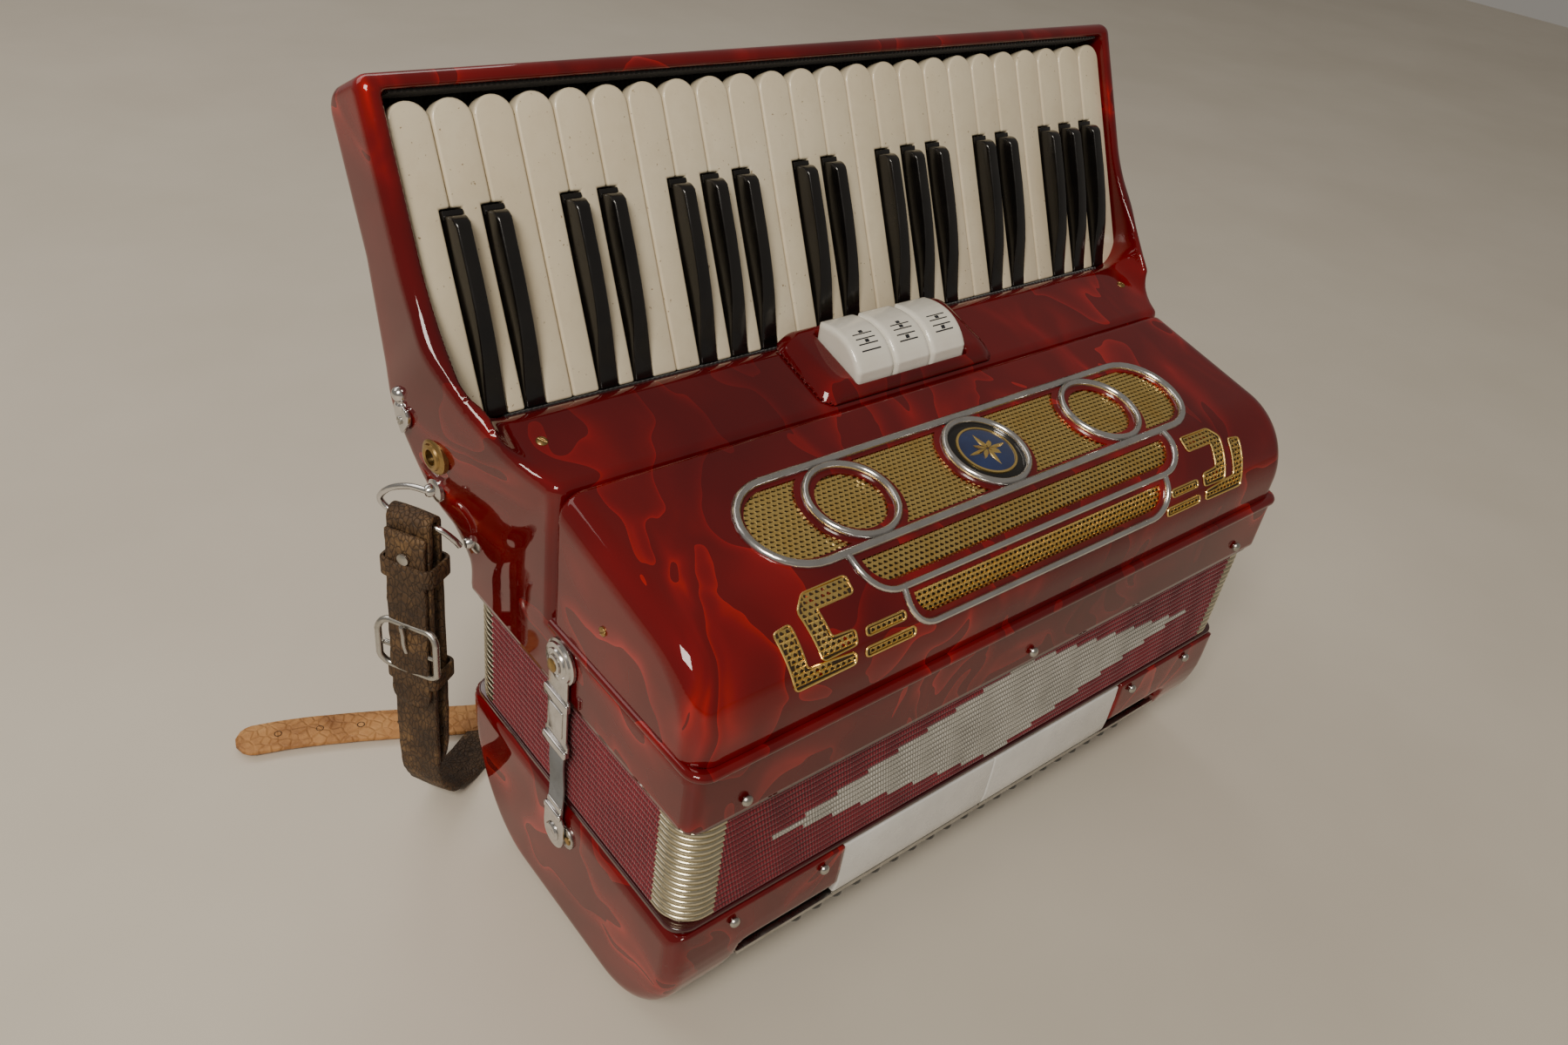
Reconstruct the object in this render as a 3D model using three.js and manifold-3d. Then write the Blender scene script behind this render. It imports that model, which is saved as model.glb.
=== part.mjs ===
// A 41-key piano accordion, closed and standing on the feet of its bass case.
// Millimetres. +X runs along the keyboard to the low notes, +Y is the player's side, +Z is up.
// The origin is on the ground under the middle of the bass case.
import * as THREE from 'three';
import { mergeVertices } from 'three/addons/utils/BufferGeometryUtils.js';
import Module from 'manifold-3d';

const wasm = await Module();
wasm.setup();

// ---------------------------------------------------------------- driving dimensions
const GAP = 0.3;                    // clearance between touching pieces

const BODY_HALF_X = 220;            // case and bellows, half the length
const BODY_HALF_Y = 101;            // case and bellows, half the depth
const KEYBOARD_HALF_X = 248;        // outside of the keyboard's cheeks
const BASS_TOP = 90;                // top rim of the bass case
const BELLOWS_BOTTOM = BASS_TOP + GAP;
const TREBLE_BOTTOM = 164;          // bottom rim of the treble case
const BELLOWS_TOP = TREBLE_BOTTOM - GAP;
const DECK_TOP = 200;               // soundboard, level with the bead round the grille cover
const SOUNDBOARD = 6;               // thickness of the soundboard
const INNER_HALF_X = 212;           // inside of the two cases, half the length
const INNER_HALF_Y = 93;            // inside of the treble case, half the depth

// keyboard: a tilted frame whose Y runs from the ledge to the key tips and whose Z is the key tops' normal
const KEYS_Y = 70;
const KEYS_Z = 284;
const KEYS_TILT = THREE.MathUtils.degToRad(63.6);
const WHITE_PITCH = 19.8;
const WHITE_WIDTH = 19.2;
const WHITE_LENGTH = 135;
const BLACK_WIDTH = 10.4;
const BLACK_LENGTH = 87;
const BLACK_HEIGHT = 9.5;
const KEY_THICKNESS = 9;
const KEY_DIP = 6;                  // room between the keys and their bed
const KEY_WELL_HALF_X = 238.4;
const HUB_Y = -28;                  // key axle in the keyboard frame
const HUB_Z = -6;
const AXLE_RADIUS = 1.5;
const AXLE_HALF_LENGTH = 223.7;
const HUB_HOLE_RADIUS = 2.1;
const STEM_WIDTH = 5.6;
const ACTION_RATIO = 0.91;          // the action is narrower than the keyboard, so the stems bend inward
const ARM_WIDTH = 3;
const ARM_HEIGHT = 4.4;
const PALLET_SIZE = [14, 24, 4];
const WHITE_PALLET_Y = -60;
const BLACK_PALLET_Y = -22;
const CHEEK_RISE = 5;               // cheeks above the key tops
const KEYBOARD_DEPTH = 38;          // keyboard's back below the key tops
const KEYBOARD_LENGTH = 147;        // from the ledge to the keyboard's far edge
const KEYBOARD_WALL = 4.5;
const BACK_LEAN_START = 75;         // along the keyboard, where its back starts to lean towards the body
const BACK_LEAN_END = 205;          // height where the leaning back reaches the body

const LEDGE_FRONT = [15, 272.5];    // y, z of the ledge's two edges
const LEDGE_BACK = [68, 287];
const LEDGE_THICKNESS = 5;
const ACTION_HALF_X = 215;          // room for the key levers, half the length

const SWITCH_PITCH = 27;
const SWITCH_WIDTH = 26.2;
const SWITCH_HOLE = { halfX: 42, front: 19.2, back: 57.3, bottom: 250, top: 320 };
const HOUSING = { front: 16, back: 66, bevel: 3, height: 8, halfX: 64, topHalfX: 54, bottom: 270, top: 305 };

const GRILLE_BACK = 13.6;           // y of the cover's back edge, at the groove
const GRILLE_ROUND_START = [-64, 256];
const GRILLE_FRONT = -99.5;
const GRILLE_RADIUS = 45;
const GRILLE_WALL = 3.5;

const FOOT_INNER_X = 176;           // inner flanks of the bass case's two feet
const FOOT_FLARE = 27;
const BOARD_FRONT = [-96, 46];      // y, z of the bass button board's edges
const BOARD_BACK = [-24, 13];
const BUTTON_COLUMNS = 20;
const BUTTON_ROWS = 6;
const BUTTON_PITCH_X = 14.4;
const BUTTON_PITCH_Y = 12.4;
const BUTTON_STAGGER = 2.4;         // each row of buttons is shifted by this much
const FIRST_ROW = 8.5;              // from the board's back edge to the first row
const BUTTON_RADIUS = 4.4;
const BUTTON_TAPER = 0.7;
const BUTTON_HEIGHT = 8;
const CARRIER_THICKNESS = 2;
const CARRIER_MARGIN = 5;           // clear of the register bars when both are pressed
const AIR_BUTTON = { x: 150, y: -15.2, radius: 4, tipRadius: 2.6, bottom: 1.4, tip: 3, top: 24 };
const AIR_HOLE_RADIUS = 4.5;

const STRAP_WIDTH = 25;             // shoulder strap
const STRAP_THICKNESS = 3.2;

// ---------------------------------------------------------------- materials
function paint(color, roughness, metalness) {
  return new THREE.MeshStandardMaterial({ color, roughness, metalness });
}

const RED_CELLULOID = 0x6e0f14;
const CREAM = 0xe6dcc0;
const BLACK = 0x101010;
const WHITE = 0xf2f0ea;
const CHROME = 0xc8c8cc;
const WINE_CLOTH = 0x6a1420;
const WOOD = 0xb98a55;
const LEATHER = 0x5a3a20;

// ---------------------------------------------------------------- solids
function toSolid(geometry) {
  const bare = geometry.index ? geometry.toNonIndexed() : geometry.clone();
  bare.deleteAttribute('normal');
  bare.deleteAttribute('uv');
  const merged = mergeVertices(bare, 1e-4);
  return new wasm.Manifold(new wasm.Mesh({
    numProp: 3,
    vertProperties: new Float32Array(merged.attributes.position.array),
    triVerts: new Uint32Array(merged.index.array),
  }));
}

function toGeometry(solid) {
  const mesh = solid.getMesh();
  const geometry = new THREE.BufferGeometry();
  geometry.setAttribute('position', new THREE.BufferAttribute(new Float32Array(mesh.vertProperties), 3));
  geometry.setIndex(new THREE.BufferAttribute(new Uint32Array(mesh.triVerts), 1));
  geometry.computeVertexNormals();
  return geometry;
}

const outline = (points) => new THREE.Shape(points.map(([a, b]) => new THREE.Vector2(a, b)));

function extrude(shape, depth, curveSegments = 8) {
  return new THREE.ExtrudeGeometry(shape, { depth, bevelEnabled: false, curveSegments });
}

const axisX = new THREE.Vector3(1, 0, 0);
const axisY = new THREE.Vector3(0, 1, 0);
const axisZ = new THREE.Vector3(0, 0, 1);

// a (y, z) outline swept from x0 to x1
function alongX(shape, x0, x1, curveSegments) {
  const geometry = extrude(shape, x1 - x0, curveSegments);
  geometry.applyMatrix4(new THREE.Matrix4().makeBasis(axisY, axisZ, axisX));
  return toSolid(geometry.translate(x0, 0, 0));
}

// an (x, z) outline swept from y0 to y1
function alongY(shape, y0, y1, curveSegments) {
  const geometry = extrude(shape, y1 - y0, curveSegments);
  geometry.applyMatrix4(new THREE.Matrix4().makeBasis(axisX, axisZ, axisY.clone().negate()));
  return toSolid(geometry.translate(0, y1, 0));
}

// an (x, y) outline swept from z0 to z1
function alongZ(shape, z0, z1, curveSegments) {
  return toSolid(extrude(shape, z1 - z0, curveSegments).translate(0, 0, z0));
}

function box(x0, x1, y0, y1, z0, z1) {
  const geometry = new THREE.BoxGeometry(x1 - x0, y1 - y0, z1 - z0);
  return toSolid(geometry.translate((x0 + x1) / 2, (y0 + y1) / 2, (z0 + z1) / 2));
}

function rodAlongX(radius, x0, x1, y, z, sides) {
  const geometry = new THREE.CylinderGeometry(radius, radius, x1 - x0, sides);
  geometry.rotateZ(Math.PI / 2);
  return toSolid(geometry.translate((x0 + x1) / 2, y, z));
}

const join = (solids) => solids.reduce((whole, solid) => whole.add(solid));

const accordion = new THREE.Group();

function addNode(name, solid, color, roughness, metalness = 0, parent = accordion) {
  const mesh = new THREE.Mesh(toGeometry(solid), paint(color, roughness, metalness));
  mesh.name = name;
  parent.add(mesh);
  return mesh;
}

// ---------------------------------------------------------------- the keyboard's tilted frame
const cosTilt = Math.cos(KEYS_TILT);
const sinTilt = Math.sin(KEYS_TILT);

function fromKeyboard([along, normal]) {
  return [KEYS_Y + along * cosTilt - normal * sinTilt, KEYS_Z + along * sinTilt + normal * cosTilt];
}

function toKeyboard([y, z]) {
  const dy = y - KEYS_Y;
  const dz = z - KEYS_Z;
  return [dy * cosTilt + dz * sinTilt, dz * cosTilt - dy * sinTilt];
}

const keyboard = new THREE.Group();
keyboard.position.set(0, KEYS_Y, KEYS_Z);
keyboard.rotation.x = KEYS_TILT;
accordion.add(keyboard);

// ---------------------------------------------------------------- treble case
// half length of the case against w = z + slope * y: the ends flare out to the keyboard's cheeks
const FLARE_SLOPE = 1.146;
const FLARE = [
  [291, BODY_HALF_X],
  [305, 224],
  [318, 228.5],
  [334, 234.5],
  [352, 239],
  [380, 244.5],
  [400, KEYBOARD_HALF_X],
];

function flarePrism() {
  const right = [[0, BODY_HALF_X], ...FLARE, [800, KEYBOARD_HALF_X]];
  const ring = right.map(([w, x]) => [x, w]);
  const mirrored = right.map(([w, x]) => [-x, w]).reverse();
  // one unit of w is this far along the prism's cross direction
  const length = Math.hypot(1, FLARE_SLOPE);
  const shape = outline([...ring, ...mirrored].map(([x, w]) => [x, w / length]));
  const reach = 600;
  const geometry = extrude(shape, 2 * reach);
  const cross = new THREE.Vector3(0, FLARE_SLOPE / length, 1 / length);
  const sweep = new THREE.Vector3().crossVectors(axisX, cross);
  geometry.applyMatrix4(new THREE.Matrix4().makeBasis(axisX, cross, sweep));
  return toSolid(geometry.translate(sweep.x * -reach, sweep.y * -reach, sweep.z * -reach));
}

function switchHole() {
  const { halfX, front, back, bottom, top } = SWITCH_HOLE;
  return box(-halfX, halfX, front, back, bottom, top);
}

function trebleCase() {
  const outer = alongX(outline([
    [-BODY_HALF_Y, TREBLE_BOTTOM],
    [BODY_HALF_Y, TREBLE_BOTTOM],
    [BODY_HALF_Y, BACK_LEAN_END],
    fromKeyboard([BACK_LEAN_START, -KEYBOARD_DEPTH]),
    fromKeyboard([KEYBOARD_LENGTH - 17, -KEYBOARD_DEPTH]),
    fromKeyboard([KEYBOARD_LENGTH - 5, -KEYBOARD_DEPTH + 7]),
    fromKeyboard([KEYBOARD_LENGTH, -KEYBOARD_DEPTH + 18]),
    fromKeyboard([KEYBOARD_LENGTH, CHEEK_RISE - 2]),
    fromKeyboard([KEYBOARD_LENGTH - 2, CHEEK_RISE]),
    fromKeyboard([5, CHEEK_RISE]),
    LEDGE_BACK,
    LEDGE_FRONT,
    [LEDGE_FRONT[0], DECK_TOP],
    [-BODY_HALF_Y - 2, DECK_TOP],
    [-BODY_HALF_Y - 2, DECK_TOP - 3.5],
    [-BODY_HALF_Y, DECK_TOP - 4.5],
  ]), -KEYBOARD_HALF_X, KEYBOARD_HALF_X);

  const bed = -KEY_THICKNESS - KEY_DIP;
  const wellEnd = WHITE_LENGTH + 4.5;
  const openAir = 60;
  const keyWell = alongX(outline([
    fromKeyboard([-4, bed]),
    fromKeyboard([-4, -1]),
    [LEDGE_BACK[0], LEDGE_BACK[1] - LEDGE_THICKNESS],
    [LEDGE_BACK[0], LEDGE_BACK[1] + 14],
    fromKeyboard([openAir, openAir]),
    fromKeyboard([wellEnd, openAir]),
    fromKeyboard([wellEnd, bed]),
  ]), -KEY_WELL_HALF_X, KEY_WELL_HALF_X);
  const stemSpace = (low, high, halfX) => alongX(outline([
    fromKeyboard([low, bed + 2]),
    fromKeyboard([low, -1]),
    fromKeyboard([high, -1]),
    fromKeyboard([high, bed + 2]),
  ]), -halfX, halfX);
  const upperStems = stemSpace(-15, -3, 232);
  const hubSpace = stemSpace(-33.5, -14, AXLE_HALF_LENGTH + GAP);
  // the action's space, from under the ledge down to the soundboard
  const actionSpace = alongX(outline([
    [LEDGE_FRONT[0] - 5, DECK_TOP],
    [INNER_HALF_Y, DECK_TOP],
    [INNER_HALF_Y, 238],
    fromKeyboard([-40, bed - 5]),
    fromKeyboard([-36, bed + 2]),
    fromKeyboard([-14, -1]),
    [50, 277],
    [20, 268.5],
    [20, 256],
    [LEDGE_FRONT[0] - 5, 256],
  ]), -ACTION_HALF_X, ACTION_HALF_X);
  const backSpace = alongX(outline([
    fromKeyboard([-42, bed - 5]),
    fromKeyboard([134, bed - 5]),
    fromKeyboard([128, -KEYBOARD_DEPTH + KEYBOARD_WALL]),
    fromKeyboard([-42, -KEYBOARD_DEPTH + KEYBOARD_WALL]),
  ]), -ACTION_HALF_X + 2, ACTION_HALF_X - 2);
  const reedChamber = box(
    -INNER_HALF_X,
    INNER_HALF_X,
    -INNER_HALF_Y,
    INNER_HALF_Y,
    TREBLE_BOTTOM - 1,
    DECK_TOP - SOUNDBOARD,
  );
  return [keyWell, upperStems, hubSpace, actionSpace, backSpace, reedChamber, switchHole()]
    .reduce((whole, cut) => whole.subtract(cut), outer.intersect(flarePrism()));
}

addNode('treble_case', trebleCase(), RED_CELLULOID, 0.15);

// ---------------------------------------------------------------- grille cover
function grilleOutline(inset, bottom, back) {
  const slope = (LEDGE_FRONT[1] - GRILLE_ROUND_START[1]) / (GRILLE_BACK - GRILLE_ROUND_START[0]);
  const angle = Math.atan(slope);
  const centre = [GRILLE_FRONT + GRILLE_RADIUS, GRILLE_ROUND_START[1] - GRILLE_RADIUS * Math.cos(angle)];
  const radius = GRILLE_RADIUS - inset;
  const shape = new THREE.Shape();
  const topAtStart = centre[1] + radius * Math.cos(angle);
  const startY = centre[0] - radius * Math.sin(angle);
  shape.moveTo(back, bottom);
  shape.lineTo(back, topAtStart + (back - startY) * slope);
  shape.lineTo(startY, topAtStart);
  shape.absarc(centre[0], centre[1], radius, Math.PI / 2 + angle, Math.PI, false);
  shape.lineTo(centre[0] - radius, bottom);
  return shape;
}

const COVER_BOTTOM = DECK_TOP + GAP;
const COVER_HALF_X = BODY_HALF_X - 0.5;
const coverOuter = alongX(grilleOutline(0, COVER_BOTTOM, GRILLE_BACK), -COVER_HALF_X, COVER_HALF_X, 10);
const coverInner = alongX(
  grilleOutline(GRILLE_WALL, COVER_BOTTOM - 5, GRILLE_BACK + 5),
  -COVER_HALF_X + GRILLE_WALL,
  COVER_HALF_X - GRILLE_WALL,
  10,
);
addNode('grille_cover', coverOuter.subtract(coverInner), RED_CELLULOID, 0.15);

// ---------------------------------------------------------------- register switches and their housing
const ledgeZ = (y) => LEDGE_FRONT[1] + (y - LEDGE_FRONT[0]) * (LEDGE_BACK[1] - LEDGE_FRONT[1])
  / (LEDGE_BACK[0] - LEDGE_FRONT[0]);

function registerHousing() {
  const { front, back, bevel, height, halfX, topHalfX, bottom, top } = HOUSING;
  const side = alongX(outline([
    [front, ledgeZ(front) + GAP],
    [back, ledgeZ(back) + GAP],
    [back - bevel, ledgeZ(back - bevel) + height],
    [front + bevel, ledgeZ(front + bevel) + height],
  ]), -halfX, halfX);
  const ends = alongY(outline([
    [-halfX, bottom],
    [halfX, bottom],
    [halfX, bottom + 6],
    [topHalfX, top],
    [-topHalfX, top],
    [-halfX, bottom + 6],
  ]), 0, BODY_HALF_Y);
  return side.intersect(ends).subtract(switchHole());
}

addNode('register_housing', registerHousing(), RED_CELLULOID, 0.15);

function registerSwitch() {
  const shape = new THREE.Shape();
  shape.moveTo(20.4, 273);
  shape.lineTo(56, 276);
  shape.lineTo(56, 298);
  shape.quadraticCurveTo(31, 304, 20.4, 285);
  return alongX(shape, -SWITCH_WIDTH / 2, SWITCH_WIDTH / 2, 6);
}

[-1, 0, 1].forEach((place, index) => {
  const node = addNode(`register_switch_${index + 1}`, registerSwitch(), WHITE, 0.2);
  node.position.x = place * SWITCH_PITCH;
});

// ---------------------------------------------------------------- keys
// one octave read from the high end, left to right; a sharp sits to the right of the letters in SHARP_AFTER
const LETTERS = ['A', 'G', 'F', 'E', 'D', 'C', 'B'];
const SHARP_AFTER = { A: 'Gs', G: 'Fs', E: 'Ds', D: 'Cs', B: 'As' };
const WHITE_COUNT = 24;

const whiteX = (index) => (index + 0.5 - WHITE_COUNT / 2) * WHITE_PITCH;
const letterAt = (index) => LETTERS[index % LETTERS.length];
const hasSharpAfter = (index) => index >= 0 && index < WHITE_COUNT - 1 && letterAt(index) in SHARP_AFTER;
// octave numbers change below C, which comes after B in this direction
const octaveAt = (index) => 6 - Math.floor((index + 1) / LETTERS.length);

// the stem, lever arm and pallet of the key at keyX, in the keyboard frame, with x counted from the key
function keyAction(keyX, palletY) {
  const stemX = keyX * (ACTION_RATIO - 1);
  const w = STEM_WIDTH / 2;
  const palletZ = DECK_TOP + GAP + PALLET_SIZE[2] / 2;
  const hub = fromKeyboard([HUB_Y, HUB_Z]);
  const armAngle = Math.atan2(palletZ + 4 - hub[1], palletY - hub[0]);
  const side = [-Math.sin(armAngle) * ARM_HEIGHT / 2, Math.cos(armAngle) * ARM_HEIGHT / 2];
  const arm = alongX(outline([
    toKeyboard([hub[0] + side[0], hub[1] + side[1]]),
    toKeyboard([palletY + side[0], palletZ + 3 + side[1]]),
    toKeyboard([palletY - side[0], palletZ + 1 - side[1]]),
    toKeyboard([hub[0] - side[0], hub[1] - side[1]]),
  ].reverse()), stemX - ARM_WIDTH / 2, stemX + ARM_WIDTH / 2);
  const [halfY, halfZ] = [PALLET_SIZE[1] / 2, PALLET_SIZE[2] / 2];
  const pallet = alongX(outline([
    toKeyboard([palletY - halfY, palletZ - halfZ]),
    toKeyboard([palletY + halfY, palletZ - halfZ]),
    toKeyboard([palletY + halfY, palletZ + halfZ]),
    toKeyboard([palletY - halfY, palletZ + halfZ]),
  ]), stemX - PALLET_SIZE[0] / 2, stemX + PALLET_SIZE[0] / 2);
  const stem = alongZ(outline([
    [stemX - w, HUB_Y - 4.5],
    [stemX + w, HUB_Y - 4.5],
    [stemX + w, -20],
    [w, -4],
    [w, 2],
    [-w, 2],
    [-w, -4],
    [stemX - w, -20],
  ]), -KEY_THICKNESS - 1, -3);
  return join([stem, arm, pallet]);
}

const HOLE_REACH = 30;              // past every stem, which stand up to 20 to the side of their keys
const axleHole = rodAlongX(HUB_HOLE_RADIUS, -HOLE_REACH, HOLE_REACH, HUB_Y, HUB_Z, 8);

function whiteKey(index) {
  const half = WHITE_WIDTH / 2;
  const notch = WHITE_PITCH / 2 - BLACK_WIDTH / 2 - 0.4;
  const left = hasSharpAfter(index - 1) ? -notch : -half;
  const right = hasSharpAfter(index) ? notch : half;
  const notchEnd = BLACK_LENGTH + 0.8;
  const tipStart = WHITE_LENGTH - 9;
  const shape = new THREE.Shape();
  shape.moveTo(left, -3);
  shape.lineTo(right, -3);
  if (right < half) {
    shape.lineTo(right, notchEnd);
    shape.lineTo(half, notchEnd);
  }
  shape.lineTo(half, tipStart);
  shape.absellipse(0, tipStart, half, WHITE_LENGTH - tipStart, 0, Math.PI, false);
  if (left > -half) {
    shape.lineTo(-half, notchEnd);
    shape.lineTo(left, notchEnd);
  }
  const plate = alongZ(shape, -KEY_THICKNESS, 0, 5);
  return plate.add(keyAction(whiteX(index), WHITE_PALLET_Y)).subtract(axleHole);
}

function blackKey(keyX) {
  const side = alongX(outline([
    [-3, -KEY_THICKNESS],
    [BLACK_LENGTH, -KEY_THICKNESS],
    [BLACK_LENGTH, 0.6],
    [BLACK_LENGTH - 3, BLACK_HEIGHT - 1.5],
    [BLACK_LENGTH - 6, BLACK_HEIGHT],
    [30, BLACK_HEIGHT - 1.5],
    [6, 1.6],
    [-3, 0.2],
  ]), -BLACK_WIDTH / 2, BLACK_WIDTH / 2);
  const base = BLACK_WIDTH / 2;
  const top = base - 1.6;
  const section = alongY(outline([
    [-base, -20],
    [base, -20],
    [base, 1],
    [top, BLACK_HEIGHT + 0.5],
    [-top, BLACK_HEIGHT + 0.5],
    [-base, 1],
  ]), -10, BLACK_LENGTH + 5);
  return side.intersect(section).add(keyAction(keyX, BLACK_PALLET_Y)).subtract(axleHole);
}

for (let index = 0; index < WHITE_COUNT; index += 1) {
  const letter = letterAt(index);
  const white = addNode(`key_${letter}${octaveAt(index)}`, whiteKey(index), CREAM, 0.25, 0, keyboard);
  white.position.x = whiteX(index);
  if (hasSharpAfter(index)) {
    const x = whiteX(index) + WHITE_PITCH / 2;
    const name = `key_${SHARP_AFTER[letter]}${octaveAt(index)}`;
    const black = addNode(name, blackKey(x), BLACK, 0.12, 0, keyboard);
    black.position.x = x;
  }
}

addNode('key_axle', rodAlongX(AXLE_RADIUS, -AXLE_HALF_LENGTH, AXLE_HALF_LENGTH, HUB_Y, HUB_Z, 8),
  CHROME, 0.3, 1, keyboard);

// ---------------------------------------------------------------- reed block
const REEDS = { halfX: 180, footHalfY: 70, bottom: 120, top: 188, lowHalfY: 9, topHalfY: 16 };
const REED_ROWS = [-48, 0, 48];
const reedFoot = box(
  -REEDS.halfX - 10,
  REEDS.halfX + 10,
  -REEDS.footHalfY,
  REEDS.footHalfY,
  REEDS.top,
  DECK_TOP - SOUNDBOARD - GAP,
);
const reedRows = REED_ROWS.map((y) => alongX(outline([
  [y - REEDS.topHalfY, REEDS.top + 1],
  [y + REEDS.topHalfY, REEDS.top + 1],
  [y + REEDS.lowHalfY, REEDS.bottom],
  [y - REEDS.lowHalfY, REEDS.bottom],
]), -REEDS.halfX, REEDS.halfX));
addNode('treble_reed_block', join([reedFoot, ...reedRows]), WOOD, 0.6);

// ---------------------------------------------------------------- bellows
function roundedRectangle(halfX, halfY, radius) {
  const shape = new THREE.Shape();
  shape.moveTo(-halfX + radius, -halfY);
  shape.lineTo(halfX - radius, -halfY);
  shape.absarc(halfX - radius, -halfY + radius, radius, -Math.PI / 2, 0, false);
  shape.lineTo(halfX, halfY - radius);
  shape.absarc(halfX - radius, halfY - radius, radius, 0, Math.PI / 2, false);
  shape.lineTo(-halfX + radius, halfY);
  shape.absarc(-halfX + radius, halfY - radius, radius, Math.PI / 2, Math.PI, false);
  shape.lineTo(-halfX, -halfY + radius);
  shape.absarc(-halfX + radius, -halfY + radius, radius, Math.PI, Math.PI * 1.5, false);
  return shape;
}

const BELLOWS_INSET = 2;            // folds behind the cases' outside
const BELLOWS_CORNER = 17;
const FOLD_DEPTH = 22;
const bellowsHalfX = BODY_HALF_X - BELLOWS_INSET;
const bellowsHalfY = BODY_HALF_Y - BELLOWS_INSET;
const bellowsOuter = alongZ(
  roundedRectangle(bellowsHalfX, bellowsHalfY, BELLOWS_CORNER),
  BELLOWS_BOTTOM,
  BELLOWS_TOP,
  5,
);
const bellowsInner = alongZ(
  roundedRectangle(bellowsHalfX - FOLD_DEPTH, bellowsHalfY - FOLD_DEPTH, 6),
  BELLOWS_BOTTOM - 1,
  BELLOWS_TOP + 1,
  2,
);
addNode('bellows', bellowsOuter.subtract(bellowsInner), WINE_CLOTH, 0.7);

// ---------------------------------------------------------------- bass case
const BASS_FLAT = [-45, 40];        // the flat underside that it stands on
const FRONT_CURVE = 70;             // heights of the rounding below the case's front and back
const BACK_CURVE = 85;
const BASS_FLOOR = 62;              // underside of the space for the reeds
const BAR_POCKET = [-113.5, 116.5]; // x of the register bars' pocket
const boardSlope = (BOARD_BACK[1] - BOARD_FRONT[1]) / (BOARD_BACK[0] - BOARD_FRONT[0]);

// an upright round piece at the air button, with its radius at the top and at the bottom
function airCylinder(topRadius, lowRadius, z0, z1) {
  const geometry = new THREE.CylinderGeometry(topRadius, lowRadius, z1 - z0, 12);
  return toSolid(geometry.rotateX(Math.PI / 2).translate(AIR_BUTTON.x, AIR_BUTTON.y, (z0 + z1) / 2));
}

function bassCase() {
  const end = new THREE.Shape();
  end.moveTo(-BODY_HALF_Y, BASS_TOP);
  const [flatFront, flatBack] = BASS_FLAT;
  end.lineTo(-BODY_HALF_Y, FRONT_CURVE);
  end.absellipse(flatFront, FRONT_CURVE, BODY_HALF_Y + flatFront, FRONT_CURVE, Math.PI, Math.PI * 1.5, false);
  end.absellipse(flatBack, BACK_CURVE, BODY_HALF_Y - flatBack, BACK_CURVE, -Math.PI / 2, 0, false);
  end.lineTo(BODY_HALF_Y, BASS_TOP);
  const outer = alongX(end, -BODY_HALF_X, BODY_HALF_X, 7);

  const inner = FOOT_INNER_X + FOOT_FLARE;
  const betweenFeet = alongY(outline([
    [-inner, -5],
    [inner, -5],
    [FOOT_INNER_X + 14, 20],
    [FOOT_INNER_X, 45],
    [FOOT_INNER_X, 65],
    [-FOOT_INNER_X, 65],
    [-FOOT_INNER_X, 45],
    [-FOOT_INNER_X - 14, 20],
  ]), -150, 150);
  const buttonRecess = alongX(outline([
    [-130, -10],
    [BOARD_BACK[0], -10],
    BOARD_BACK,
    [-20, 21],
    [-90, 58],
    [-130, 58],
  ]), -BODY_HALF_X, BODY_HALF_X);
  const handRecess = alongX(outline([[-8, -10], [130, -10], [130, 36], [-8, 36]]), -BODY_HALF_X, BODY_HALF_X);
  const ribCut = alongX(outline([[-40, -10], [0, -10], [0, 10], [-40, 10]]), -BODY_HALF_X, BODY_HALF_X);
  const barPocket = box(BAR_POCKET[0], BAR_POCKET[1], -110, -90.5, 47, BASS_TOP + 1);
  const innerSpace = box(-INNER_HALF_X, INNER_HALF_X, -86, INNER_HALF_Y, BASS_FLOOR, BASS_TOP + 1);
  const lowerSpace = box(-168, 168, -4, 84, 42, BASS_FLOOR + 1);
  const footPockets = [[-INNER_HALF_X, -192], [192, INNER_HALF_X]].map(
    ([x0, x1]) => box(x0, x1, -60, 60, 30, BASS_FLOOR + 1),
  );
  const airHole = airCylinder(AIR_HOLE_RADIUS, AIR_HOLE_RADIUS, -5, 31);
  return outer
    .subtract(betweenFeet.intersect(join([buttonRecess, handRecess, ribCut])))
    .subtract(barPocket)
    .subtract(innerSpace)
    .subtract(lowerSpace)
    .subtract(join(footPockets))
    .subtract(airHole);
}

addNode('bass_case', bassCase(), RED_CELLULOID, 0.15);

// ---------------------------------------------------------------- bass buttons
// a carrier plate with all the buttons, in a frame whose X is the case's and whose Z points out of the board
function bassButtons() {
  const depth = Math.hypot(BOARD_BACK[0] - BOARD_FRONT[0], BOARD_BACK[1] - BOARD_FRONT[1]);
  const parts = [
    box(-FOOT_INNER_X + 1, FOOT_INNER_X - 1, 1, depth - CARRIER_MARGIN, -CARRIER_THICKNESS, 0),
  ];
  for (let row = 0; row < BUTTON_ROWS; row += 1) {
    for (let column = 0; column < BUTTON_COLUMNS; column += 1) {
      const columnX = (column - (BUTTON_COLUMNS - 1) / 2) * BUTTON_PITCH_X;
      const x = columnX + (row - (BUTTON_ROWS - 1) / 2) * BUTTON_STAGGER;
      const y = FIRST_ROW + row * BUTTON_PITCH_Y;
      const topRadius = BUTTON_RADIUS - BUTTON_TAPER;
      const button = new THREE.CylinderGeometry(topRadius, BUTTON_RADIUS, BUTTON_HEIGHT + 1, 6);
      button.rotateX(Math.PI / 2).translate(x, y, (BUTTON_HEIGHT - 1) / 2);
      parts.push(toSolid(button));
    }
  }
  return join(parts);
}

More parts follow.
